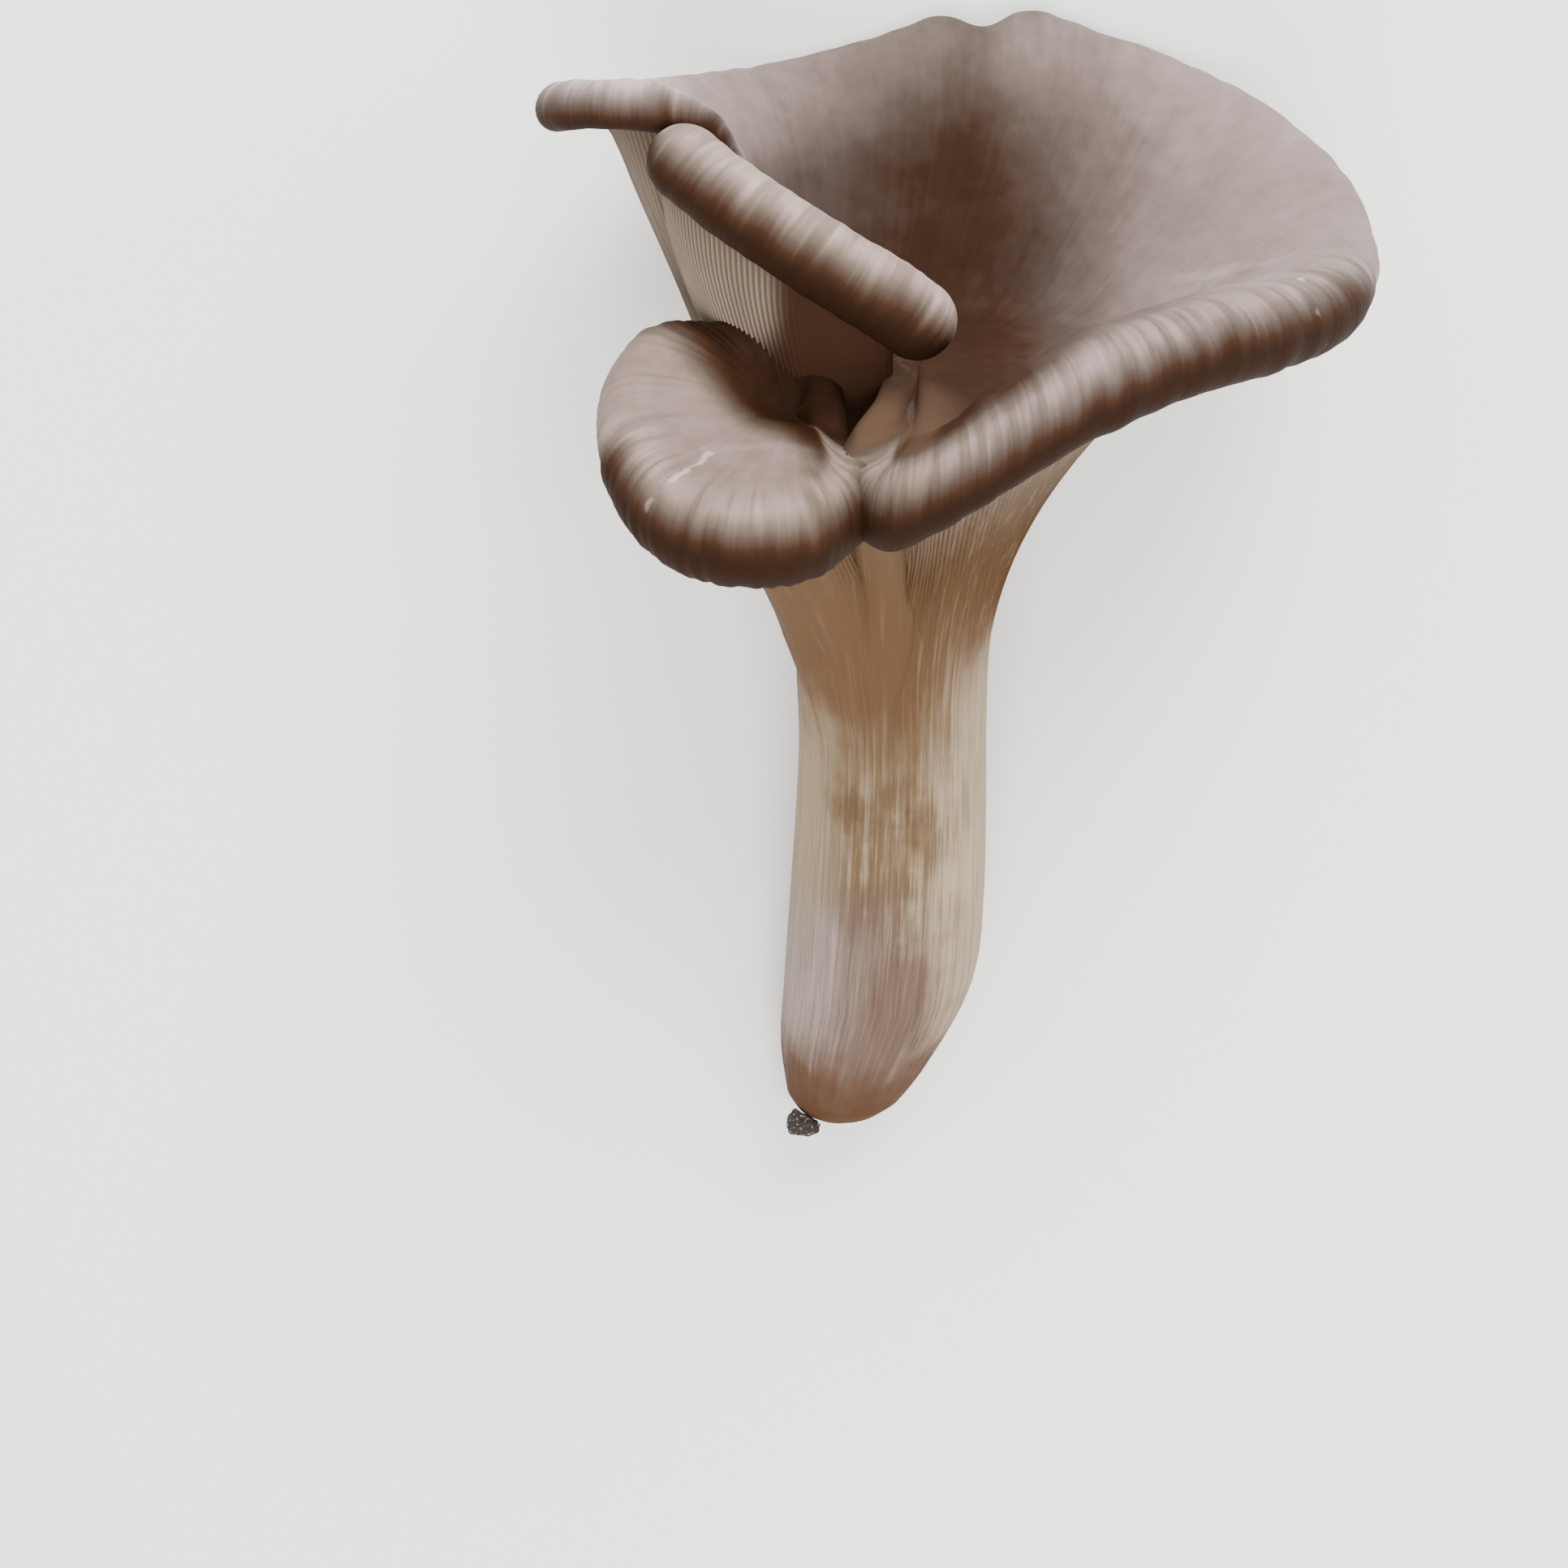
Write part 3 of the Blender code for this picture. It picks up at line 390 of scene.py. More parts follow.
class MushroomColours(bpy.types.PropertyGroup):
    """Colours a user would change"""
    # Shade is the darkest brown: the rolled-under side of the margin, partly its darker skin and partly
    # painted shade, and the painted shade deep in the caps' hollows
    shade: colour_property("Shade", "Rolled-under side of the margin", (0.013, 0.005, 0.002))
    # The throat brown also paints the deep shade on the fold's stalk where it is not lit
    throat: colour_property("Throat", "Brown of the funnel's bottom", (0.038, 0.017, 0.009))
    skin: colour_property("Skin", "Brown of the cap's skin", (0.070, 0.050, 0.041))
    fawn: colour_property("Fawn", "Lighter brown of the cap's skin", (0.137, 0.103, 0.088))
    bloom: colour_property("Bloom", "Lilac grey of the cap's outer part", (0.265, 0.200, 0.188))
    frost: colour_property("Frost", "Palest skin", (0.45, 0.37, 0.35))
    lip: colour_property("Lip", "Orange brown of the spout at the front", (0.105, 0.060, 0.036))
    gill: colour_property("Gill", "Pale edge of the gills", (0.235, 0.182, 0.138))
    # Painted shade: the brown between the gills
    gill_valley_shade: colour_property("Gill valley", "Brown between the gills", (0.100, 0.072, 0.050))
    # The cream of the sides is partly painted light
    stem_pale: colour_property("Stem sides", "Cream of the stem's sides", (0.37, 0.296, 0.203))
    # The tan under the cap is partly painted shade where the cap shades the stem
    stem_tan: colour_property("Stem top", "Tan of the stem under the cap", (0.102, 0.055, 0.027))
    stem_middle: colour_property("Stem middle", "Light brown of the stem", (0.124, 0.079, 0.042))
    stem_low: colour_property("Lower stem", "Grey brown of the lower stem", (0.106, 0.067, 0.046))
    stem_foot: colour_property("Foot", "Brown of the foot", (0.074, 0.035, 0.017))
    stem_lilac: colour_property("Fibres", "Cool white fibres of the lower stem", (0.290, 0.228, 0.225))
    blotch: colour_property("Blotch", "Orange brown of the bruises", (0.088, 0.048, 0.023))
    crumb: colour_property("Crumb", "Dark substrate", (0.012, 0.009, 0.007))


def unit(vectors):
    """The vectors scaled to length 1."""
    return vectors / np.maximum(np.linalg.norm(vectors, axis=-1, keepdims=True), 1e-9)


def ripple(angle, waves, seed):
    """Between -1 and 1: a weighted sum of sines with these whole numbers of waves in a turn."""
    draw = np.random.default_rng(seed)
    phase = draw.uniform(0, 2 * math.pi, (len(waves), 1))
    weight = draw.uniform(0.5, 1.0, (len(waves), 1))
    sines = np.sin(np.array(waves, float)[:, None] * angle + phase)
    return (weight * sines).sum(0) / weight.sum()


def catmull_rom(before, start, end, after, part):
    """Catmull-Rom spline between start and end."""
    square = 2 * before - 5 * start + 4 * end - after
    cube = 3 * start - before - 3 * end + after
    return 0.5 * (2 * start + (end - before) * part + square * part ** 2 + cube * part ** 3)


def closed_spline(table, at):
    """Spline round a closed table; columns 0 and 4 are angles that gain a whole turn a lap."""
    count = len(table)
    first = np.floor(at).astype(int)
    gain = np.zeros(table.shape[1])
    gain[[0, 4]] = WHOLE_TURN

    def row(step):
        return table[(first + step) % count] + np.floor_divide(first + step, count)[:, None] * gain

    return catmull_rom(row(-1), row(0), row(1), row(2), (at - first)[:, None])


def open_spline(table, at):
    """Spline along an open table, with its end slopes carried straight on."""
    table = np.asarray(table, float)
    longer = np.concatenate([[2 * table[0] - table[1]], table, [2 * table[-1] - table[-2]]])
    first = np.clip(np.floor(at).astype(int), 0, len(table) - 2)
    rows = [longer[first + step] for step in range(4)]
    return catmull_rom(*rows, (at - first)[:, None])


def bezier(a, b, c, d, at):
    """Cubic Bezier curves, one for each column, at the given shares."""
    s = at[..., None]
    return (1 - s) ** 3 * a + 3 * (1 - s) ** 2 * s * b + 3 * (1 - s) * s ** 2 * c + s ** 3 * d


def hermite(xs, ys, at, closed=False):
    """Smooth curve through points; closed, it runs once round a whole turn."""
    slope = np.gradient(ys, xs)
    if closed:
        slope[0] = slope[-1] = (ys[1] - ys[-2]) / (xs[1] - xs[0] + xs[-1] - xs[-2])
    k = np.clip(np.searchsorted(xs, at, side="right") - 1, 0, len(xs) - 2)
    step = xs[k + 1] - xs[k]
    s = (at - xs[k]) / step
    bend = s * (1 - s) ** 2 * slope[k] + s * s * (s - 1) * slope[k + 1]
    return (1 + 2 * s) * (1 - s) ** 2 * ys[k] + s * s * (3 - 2 * s) * ys[k + 1] + step * bend


def level_way(angle):
    """Level unit vectors at these angles, in radians."""
    return np.stack([np.cos(angle), np.sin(angle), 0 * angle], -1)


def aim(azimuth, slope):
    """Unit vectors along and square to a direction of that azimuth and slope, in radians."""
    flat, c, s = level_way(azimuth), np.cos(slope)[:, None], np.sin(slope)[:, None]
    return c * flat + s * UP, -s * flat + c * UP


def around_neck(wall, angle):
    """Every value of the wall table at the given neck angles, in degrees."""
    wall = np.array(wall, float)
    xs = np.append(wall[:, 0], wall[0, 0] + WHOLE_TURN)
    at = np.mod(angle - xs[0], WHOLE_TURN) + xs[0]
    return [hermite(xs, np.append(wall[:, k], wall[0, k]), at, closed=True) for k in range(1, 5)]


def spread(table, columns, neck_share=0.25):
    """Places of the columns round the margin: mostly by its length, partly by the neck's angle."""
    at = np.linspace(0, len(table), MARGIN_STEPS + 1)
    fine = closed_spline(table, at)
    along = np.linalg.norm(np.diff(fine[:, 1:4], axis=0), axis=1)
    around = np.radians(np.abs(np.diff(fine[:, 0]))) * NECK_WEIGHT * STEM_RADIUS
    length = np.cumsum(along * (1 - neck_share) + around * neck_share + 1e-3)
    length = np.concatenate([[0], length])
    return np.interp(np.linspace(0, length[-1], columns + 1)[:-1], length, at)


def margin_columns(margin, columns, wave):
    """The margin's values column by column, its roll swelling and shrinking by small waves."""
    table = np.array(margin, float)
    at = closed_spline(table, spread(table, columns))
    m = SimpleNamespace(neck=at[:, 0], azimuth=np.radians(at[:, 4]), centre=at[:, 1:4], roll=at[:, 6:7])
    m.turn = 2 * math.pi * np.arange(columns) / columns
    swell = ripple(m.turn, MARGIN_WAVES, 3)
    m.roll = m.roll + wave * swell[:, None] * rise(m.roll, *WAVED_ROLL)
    m.out, m.square = aim(m.azimuth, np.radians(at[:, 5]))
    m.curl, m.free = np.radians(at[:, 7]), np.clip(at[:, 8], 0.2, 0.9)
    m.edge = np.minimum(EDGE_THICK, EDGE_SHARE * m.roll)
    m.inner = m.roll - m.edge
    steps = np.linalg.norm(np.roll(m.centre, -1, axis=0) - m.centre, axis=1)
    m.total = steps.sum()
    m.length = np.cumsum(steps) - steps
    return m


def calm(values, reach, m):
    """Running mean with a bell-shaped weight round the closed margin."""
    apart = np.abs(m.length[:, None] - m.length[None])
    apart = np.minimum(apart, m.total - apart)
    weight = np.exp(-0.5 * (apart / reach) ** 2)
    return (weight / weight.sum(1, keepdims=True)) @ values


def stem_rings(count, angle, profile):
    """Round rings up the stem, crowded at the foot; the last one of the profile is left out."""
    profile = np.array(profile, float)
    share = np.linspace(0, 1, count + 1)[:-1] ** FOOT_CROWDING
    z = profile[0, 0] + (profile[-1, 0] - profile[0, 0]) * share
    x, y, radius = (hermite(profile[:, 0], profile[:, k], z)[:, None] for k in (1, 2, 3))
    height = z[:, None] + 0 * angle
    return np.stack([x + radius * np.cos(angle), y + radius * np.sin(angle), height], -1)


def gill_side(m, wall, neck, form):
    """The cap from below: a curve from the neck to a calmed margin, and one from there into the
    roll. Gives its rows and the flesh's thickness at the stem."""
    end = m.centre + m.inner * m.square
    soft_end = calm(end, form.calm, m)
    heading = calm(level_way(m.azimuth), form.calm, m)
    steep, low, high, thick = around_neck(wall, m.neck)
    slope, _ = aim(np.arctan2(heading[:, 1], heading[:, 0]), np.radians(steep))
    height, x, y, radius = neck
    ring = np.array([x, y, height]) + radius * level_way(np.radians(m.neck))
    span = np.linalg.norm(soft_end - ring, axis=1)[:, None]
    first_pull = unit(np.array(form.start)) * span * low[:, None]
    curve = (ring, ring + first_pull, soft_end - slope * span * high[:, None], soft_end)
    rows = bezier(*curve, np.linspace(0, 1, form.wall + 1)[:, None] * m.free)
    leaving = unit(bezier(*curve, m.free[None] + 0.01)[0] - bezier(*curve, m.free[None] - 0.01)[0])
    span = BRIM_PULL * np.linalg.norm(end - rows[-1], axis=1)[:, None]
    share = np.linspace(0, 1, form.brim + 1)[1:, None] + 0 * m.free
    brim = bezier(rows[-1], rows[-1] + leaving * span, end - m.out * span, end, share)
    return np.concatenate([rows, brim]), thick


def rolled_margin(m, form):
    """The margin's roll: an arc inside, a half-round edge and an arc back outside."""
    def arc(radius, turn):
        turn = turn[..., None]
        return m.centre + radius * (np.cos(turn) * m.square + np.sin(turn) * m.out)

    inside = arc(m.inner, np.linspace(0, 1, form.roll_in + 1)[1:, None] * m.curl)
    outside = arc(m.roll, np.linspace(1, 0, form.roll_out + 1)[:, None] * m.curl)
    c, s = np.cos(m.curl)[:, None], np.sin(m.curl)[:, None]
    outward, onward = c * m.square + s * m.out, c * m.out - s * m.square
    turn = np.linspace(0, math.pi, form.edge + 2)[1:-1, None, None]
    bulge = m.edge / 2 * (np.sin(turn) * onward - np.cos(turn) * outward)
    return np.concatenate([inside, m.centre + (m.roll + m.inner) / 2 * outward + bulge, outside])


def length_down(grid):
    """Length along every column of the grid, from its first row on."""
    steps = np.linalg.norm(np.diff(grid, axis=0), axis=2)
    return np.concatenate([np.zeros((1, grid.shape[1])), np.cumsum(steps, axis=0)])


def evenly(path, count):
    """The path of every column cut into equal lengths; its first and last points are left out."""
    column = np.arange(path.shape[1])
    length = length_down(path)
    want = np.linspace(0, 1, count + 1)[1:-1, None] * length[-1]
    k = np.clip((length[None] <= want[:, None]).sum(1) - 1, 0, len(path) - 2)
    gap = np.maximum(length[k + 1, column] - length[k, column], 1e-9)
    part = ((want - length[k, column]) / gap)[..., None]
    return path[k, column] * (1 - part) + path[k + 1, column] * part


def cap_top(m, under, thick, form):
    """The cap's top: the gill side moved in by the flesh's thickness, followed down to the level
    where the margin is tall, and from there a curve along the floor to the throat."""
    pole = np.array(form.throat, float)
    share = np.linspace(0, 1, len(under))[:, None, None]
    tangent = unit(np.gradient(under, axis=0))
    inward = share * m.square + (1 - share) * unit(pole - under)
    inward = unit(inward - (inward * tangent).sum(-1, keepdims=True) * tangent)
    inward[-1] = m.square
    shell = under + inward * (m.edge + (thick[:, None] - m.edge) * (1 - share))
    last, column = len(under) - 1, np.arange(under.shape[1])
    k = np.clip((shell[..., 2] < form.level).sum(0) - 1, 0, last - 1)
    height, above = shell[k, column, 2], shell[k + 1, column, 2]
    leave = k + np.clip((form.level - height) / (above - height), 0, 1)
    tall = calm(rise(shell[-1, :, 2], form.level + LOW_RIM, TALL_RIM), form.floor_calm, m)
    tall = np.where(tall < 0.02, 0, tall)
    leave = last - tall * (last - np.minimum(calm(leave, form.floor_calm, m), last - 1))
    row = leave + (last - leave) * np.linspace(1, 0, PATH_STEPS + 1)[:, None]
    k = np.clip(np.floor(row).astype(int), 0, last - 1)
    part = (row - k)[..., None]
    down = shell[k, column] * (1 - part) + shell[k + 1, column] * part
    gap = pole - down[-1]
    span = np.linalg.norm(gap, axis=1)[:, None]
    homeward = unit(gap - (gap * m.square).sum(-1, keepdims=True) * m.square)
    homeward = unit(homeward * form.home - m.out * (1 - form.home))
    falling = unit(down[-1] - down[-3] + 1e-12 * m.out)
    slope = unit(tall[:, None] * falling + (1 - tall)[:, None] * homeward)
    flat = unit(gap * np.array([1, 1, 0]))
    pulls = (down[-1] + slope * span * form.pulls[0], pole - flat * span * form.pulls[1])
    share = np.linspace(0, 1, PATH_STEPS + 1)[1:, None] + 0 * tall
    path = np.concatenate([down, bezier(down[-1], *pulls, pole, share)])
    return pressed(evenly(path, form.top), form.hollows)


def pressed(top, hollows):
    """The cap's top pressed down in oval hollows, but not at its margin."""
    soft = rise(length_down(top), MARGIN_FIRM, MARGIN_SOFT)
    for x, y, half_x, half_y, depth in hollows:
        far = np.hypot((top[..., 0] - x) / half_x, (top[..., 1] - y) / half_y)
        top[..., 2] -= depth * smooth(1 - far) * soft
    return top


def calmed_inward(top, m):
    """The cap's top without the margin's small waves, except close to the roll."""
    still = np.stack([calm(row, TOP_CALM, m) for row in top])
    return top + (still - top) * rise(length_down(top), 0, TOP_CALM_RUN)[..., None]


def gill_wave(columns, gills, share):
    """Height of the gills by row and column, 0 to 1: a cosine ridge for each gill, where a gill of
    a lower rank rises only from its own share of the wall on."""
    phase = gills * np.arange(columns) / columns
    rank = np.floor(phase + 0.5).astype(int) % GILL_RANKS
    grown = rise(share[:, None], np.array(GILL_START)[rank], GILL_RISE)
    return (0.5 + 0.5 * np.cos(2 * math.pi * phase)) * grown


def raised(grid, height):
    """The grid moved by the height along the surface's normal."""
    across = np.roll(grid, -1, axis=1) - np.roll(grid, 1, axis=1)
    normal = unit(np.cross(across, np.gradient(grid, axis=0)))
    return grid + normal * height[..., None]


def round_margin(columns, total, distance):
    """Coordinates for fibres that cross the margin: a cylinder whose girth is the margin's length
    and whose height is the distance from the edge, so that it has no seam."""
    turn = 2 * math.pi * np.arange(columns) / columns + 0 * distance
    radius = total / (2 * math.pi)
    return np.stack([radius * np.cos(turn), radius * np.sin(turn), distance], -1)


def cap_gills(below, stem_rows, form):
    """Height of the gills, 0 to 1, on the stem and the gill side: they rise between two heights
    and fade at the margin."""
    share = np.concatenate([np.full(stem_rows, -0.5), np.linspace(0, 1, len(below) - stem_rows)])
    fade = 1 - np.clip(share, 0, 1) ** GILL_FADE_EDGE
    wave = gill_wave(below.shape[1], form.gills, share) * fade[:, None]
    return wave * rise(below[..., 2], form.gill_low, form.gill_high - form.gill_low)


def stem_flutes(m, below, stem_rows):
    """The stem's shallow flutes, which run out over the first third of the gill side."""
    flutes = ripple(m.turn, FLUTES, 5) * rise(below[:stem_rows, :, 2], 0, FLUTES_RISE)
    onward = 1 - smooth(np.linspace(0, 1, len(below) - stem_rows)[:, None] * 3)
    return np.concatenate([flutes, flutes[-1] * onward]) * STEM_WAVE


def roll_look(m, distance, tone, form):
    """The tone with the front roll's own blended in, partly painted light, and the distance from the
    roll's dark side, whose further reach round the front is painted shade.
    """
    facing = smooth(FACING[0] - FACING[1] * np.sin(m.azimuth))
    near = facing * rise(m.roll[:, 0], 3, 3) * rise(distance, ROLL_LIGHT, -7)
    near = near * rise(m.centre[:, 1], OPEN_FRONT, -8)
    band = m.roll[:, 0] * (BAND_LEAST + form.band * facing)
    band = band + CURL_BAND * in_curl(m.centre[:, 0] + 2, m.centre[:, 2], 10)
    return tone + (ROLL_TONE - tone) * near, distance - band + BACK_LIGHT * (1 - facing)


def cap_surface(margin, wall, profile, form, sizes):
    """One cap with its stem as a closed grid: from the foot up the gill side, round the rolled
    margin and down the cap's top to the throat. Gills, flutes and folds are moved along the
    surface's normal."""
    m = margin_columns(margin, GILL_SIDES * form.gills, sizes.margin_wave / MM)
    stem = stem_rings(form.stem, np.radians(m.neck), profile)
    under, thick = gill_side(m, wall, profile[-1], form)
    top = calmed_inward(cap_top(m, under, thick, form), m)
    grid = np.concatenate([stem, under, rolled_margin(m, form), top])
    below = len(stem) + len(under)
    length = length_down(grid)
    distance = length - length[below + form.roll_in + form.edge // 2]
    ridge, flutes = np.zeros((2, *grid.shape[:2]))
    ridge[:below] = cap_gills(grid[:below], len(stem), form)
    flutes[:below] = stem_flutes(m, grid[:below], len(stem))
    folds = ripple(m.turn, TOP_FOLDS, 8) * FOLD_DEPTH
    folds = folds * rise(distance, TOP_FOLDS_START, FOLD_RUN) * rise(distance, form.folds, -FOLD_RUN)
    tone, rim = roll_look(m, distance, form.tone(*np.moveaxis(grid, -1, 0)), form)
    return SimpleNamespace(
        points=raised(grid, ridge * sizes.gill_height / MM + flutes + folds), ridge=ridge,
        edge=distance, tone=tone, rim=rim, lit=0 * tone + 1,
        fibre=round_margin(grid.shape[1], m.total, distance), ends=(form.foot, grid[-1].mean(0)))


def fold_surface(path, form, sizes):
    """Sausage of round section along a spline, with half-ball ends. Small waves run along it."""
    at = open_spline(path, np.linspace(0, len(path) - 1, form.rows))
    centre, radius = at[:, :3], at[:, 3]
    along = unit(np.gradient(centre, axis=0))
    side = unit(np.cross(UP, along))
    turn = np.linspace(0, math.pi / 2, form.end + 1)[1:-1]
    start = centre[0] - along[0] * radius[0] * np.sin(turn[::-1])[:, None]
    finish = centre[-1] + along[-1] * radius[-1] * np.sin(turn)[:, None]
    middle = np.concatenate([start, centre, finish])[:, None]
    size = np.concatenate([radius[0] * np.cos(turn[::-1]), radius, radius[-1] * np.cos(turn)])
    swell = ripple(np.linspace(0, math.pi, len(size)), ROLL_WAVES, 4)
    wave = form.rolled * FOLD_WAVE * sizes.margin_wave / MM
    size = size + wave * swell * rise(size, *WAVED_ROLL)
    k = np.clip(np.arange(len(size)) - len(turn), 0, form.rows - 1)
    angle = np.linspace(0, 2 * math.pi, form.sides, endpoint=False)[None, :]
    side, up = side[k][:, None], np.cross(along, side)[k][:, None]
    around = np.cos(angle)[..., None] * side + np.sin(angle)[..., None] * up
    points = middle + size[:, None, None] * around
    low = np.mod(angle + FOLD_LOW_SIDE + math.pi, 2 * math.pi) - math.pi
    edge = (np.abs(low) * FOLD_PATH[0][3] if form.rolled else -WEB_BELOW) + 0 * angle * size[:, None]
    fibre = np.stack([length_down(middle) + 0 * edge, 0 * edge, edge], -1)
    ends = (centre[0] - along[0] * radius[0], centre[-1] + along[-1] * radius[-1])
    return SimpleNamespace(
        points=points, ridge=0 * edge, edge=edge, tone=0 * edge + FOLD_TONE, rim=edge - FOLD_BAND,
        lit=0 * edge + 1, fibre=fibre, ends=ends)


def stalk_surface(levels, form, sizes):
    """Upright flat stalk: a spline of ellipses, turned and tipped, with gills up its sides."""
    at = open_spline(levels, np.linspace(0, len(levels) - 1, form.rows))
    centre, turn, tip = at[:, :3], np.radians(at[:, 3]), np.radians(at[:, 4])
    long_way, _ = aim(turn, tip)
    short_way, _ = aim(turn + math.pi / 2, 0 * tip)
    columns = form.columns
    angle = np.linspace(0, 2 * math.pi, columns, endpoint=False)[None, :, None]
    grid = centre[:, None] + at[:, 5, None, None] * np.cos(angle) * long_way[:, None]
    grid = grid + at[:, 6, None, None] * np.sin(angle) * short_way[:, None]
    wave = gill_wave(columns, form.gills, np.full(form.rows, 1.0))
    wave = wave * (1 - np.linspace(0, 1, form.rows) ** 12)[:, None]
    wave = wave * rise(grid[..., 0], STALK_GILLS_END, -STALK_GILLS_FADE)
    distance = grid[..., 2] - levels[-1][2] - STALK_BELOW
    fibre = round_margin(columns, 2 * math.pi * levels[-1][5], distance)
    lit = rise(grid[..., 0], STALK_LIT, -9) * rise(grid[..., 2], STALK_LIT_HEIGHT, 12)
    return SimpleNamespace(
        points=raised(grid, wave * sizes.gill_height / MM * STALK_GILL_SHARE), ridge=wave,
        edge=distance, tone=lit, rim=distance, lit=lit, fibre=fibre, ends=(centre[0], centre[-1]))


def lumpy(points, pitch, seed):
    """Between -1 and 1 at each place: the mean of sine waves that run in seeded directions."""
    draw = np.random.default_rng(seed)
    heading = unit(draw.normal(size=(CRUMB_WAVES, 3))) * 2 * math.pi / pitch
    return np.sin(points @ heading.T + draw.uniform(0, 2 * math.pi, CRUMB_WAVES)).mean(-1)


def crumbled(ball):
    """Points of a ball squeezed to the crumb's size, its radius raised and lowered by lumps and
    grains, and moved out of the stem where they would touch it."""
    at = ball * np.array(CRUMB_SIZE)
    swell = CRUMB_ROUGH * lumpy(at, CRUMB_LUMP_PITCH, 2) + CRUMB_GRAIN * lumpy(at, CRUMB_GRAIN_PITCH, 6)
    points = at * (1 + swell[..., None]) + np.array(CRUMB_CENTRE)
    table = np.array(STEM_PROFILE, float)
    z = np.clip(points[..., 2] + CRUMB_GAP, table[0, 0], table[-1, 0])
    axis = FOOT_SHIFT * hermite(table[:, 0], table[:, 1], z)
    clear = STEM_RADIUS * hermite(table[:, 0], table[:, 2], z) + CRUMB_GAP
    flat = points[..., :2] - np.stack([axis, 0 * axis], -1)
    far = np.linalg.norm(flat, axis=-1)
    near = (far < clear) & (points[..., 2] > FOOT_DROP - CRUMB_GAP)
    points[..., :2] += flat * (near * (clear - far) / far)[..., None]
    return points


def crumb_surface():
    """The crumb by elevation and azimuth, with a point at each pole."""
    turn = np.linspace(0, 2 * math.pi, CRUMB_COLUMNS, endpoint=False)
    tilt = np.linspace(-math.pi / 2, math.pi / 2, CRUMB_ROWS + 2)[1:-1, None]
    ball = [np.cos(tilt) * np.cos(turn), np.cos(tilt) * np.sin(turn), np.sin(tilt) + 0 * turn]
    return SimpleNamespace(points=crumbled(np.stack(ball, -1)), ends=crumbled(np.stack([-UP, UP])))


def lay_down(points):
    """From the way it grew, in millimetres, to the way it lies, in metres: the back turns down
    and the cap points to +Y. Nothing sinks into the floor."""
    c, s = math.cos(math.radians(LYING_TILT)), math.sin(math.radians(LYING_TILT))
    x, y, z = np.moveaxis(np.asarray(points, float), -1, 0)
    lying = np.stack([x - CENTRE_X, s * y + c * z - CENTRE_Y, np.maximum(LIFT - c * y + s * z, 0)], -1)
    return lying * MM


def around_stem(points):
    """Coordinates for fibres along the stem: the points moved straight out from the stem's axis,
    or in, to the stem's radius."""
    table = np.array(STEM_PROFILE, float)
    axis = FOOT_SHIFT * np.interp(points[:, 2], table[:, 0], table[:, 1])
    flat = points[:, :2] - np.stack([axis, 0 * axis], 1)
    return np.column_stack([unit(flat) * STEM_RADIUS, points[:, 2]])


def mesh_object(name, points, faces, fields):
    """A smooth mesh object lying down, with its fields as attributes of its points."""
    mesh = bpy.data.meshes.new(name)
    mesh.from_pydata(lay_down(points).tolist(), [], faces)
    for field, values in dict(fields, grown=points, around=around_stem(points)).items():
        vector = np.ndim(values) == 2
        layer = mesh.attributes.new(field, "FLOAT_VECTOR" if vector else "FLOAT", "POINT")
        layer.data.foreach_set("vector" if vector else "value", np.ravel(values).astype(np.float32))
    mesh.shade_smooth()
    obj = bpy.data.objects.new(name, mesh)
    bpy.context.scene.collection.objects.link(obj)
    return obj


def closed_surface(name, surface):
    """The grid as a closed mesh: quads between the rings and a fan to a point at each end."""
    rows, columns = surface.points.shape[:2]
    row, column = np.meshgrid(np.arange(rows - 1) * columns, np.arange(columns), indexing="ij")
    here, beside = row + column, row + (column + 1) % columns
    quads = np.stack([here, beside, beside + columns, here + columns], -1).reshape(-1, 4)
    ring, beyond = np.arange(columns), (np.arange(columns) + 1) % columns
    end, foot = (rows - 1) * columns, rows * columns
    bottom = np.stack([np.full(columns, foot), beyond, ring], 1)
    head = np.stack([np.full(columns, foot + 1), end + ring, end + beyond], 1)
    points = np.concatenate([surface.points.reshape(-1, 3), np.array(surface.ends, float)])

    def field(values):
        flat = values.reshape(rows * columns, *values.shape[2:])
        return np.concatenate([flat, values[:1].mean(1), values[-1:].mean(1)])

    fields = {key: field(values) for key, values in vars(surface).items() if key not in ("points", "ends")}
    return mesh_object(name, points, quads.tolist() + bottom.tolist() + head.tolist(), fields)


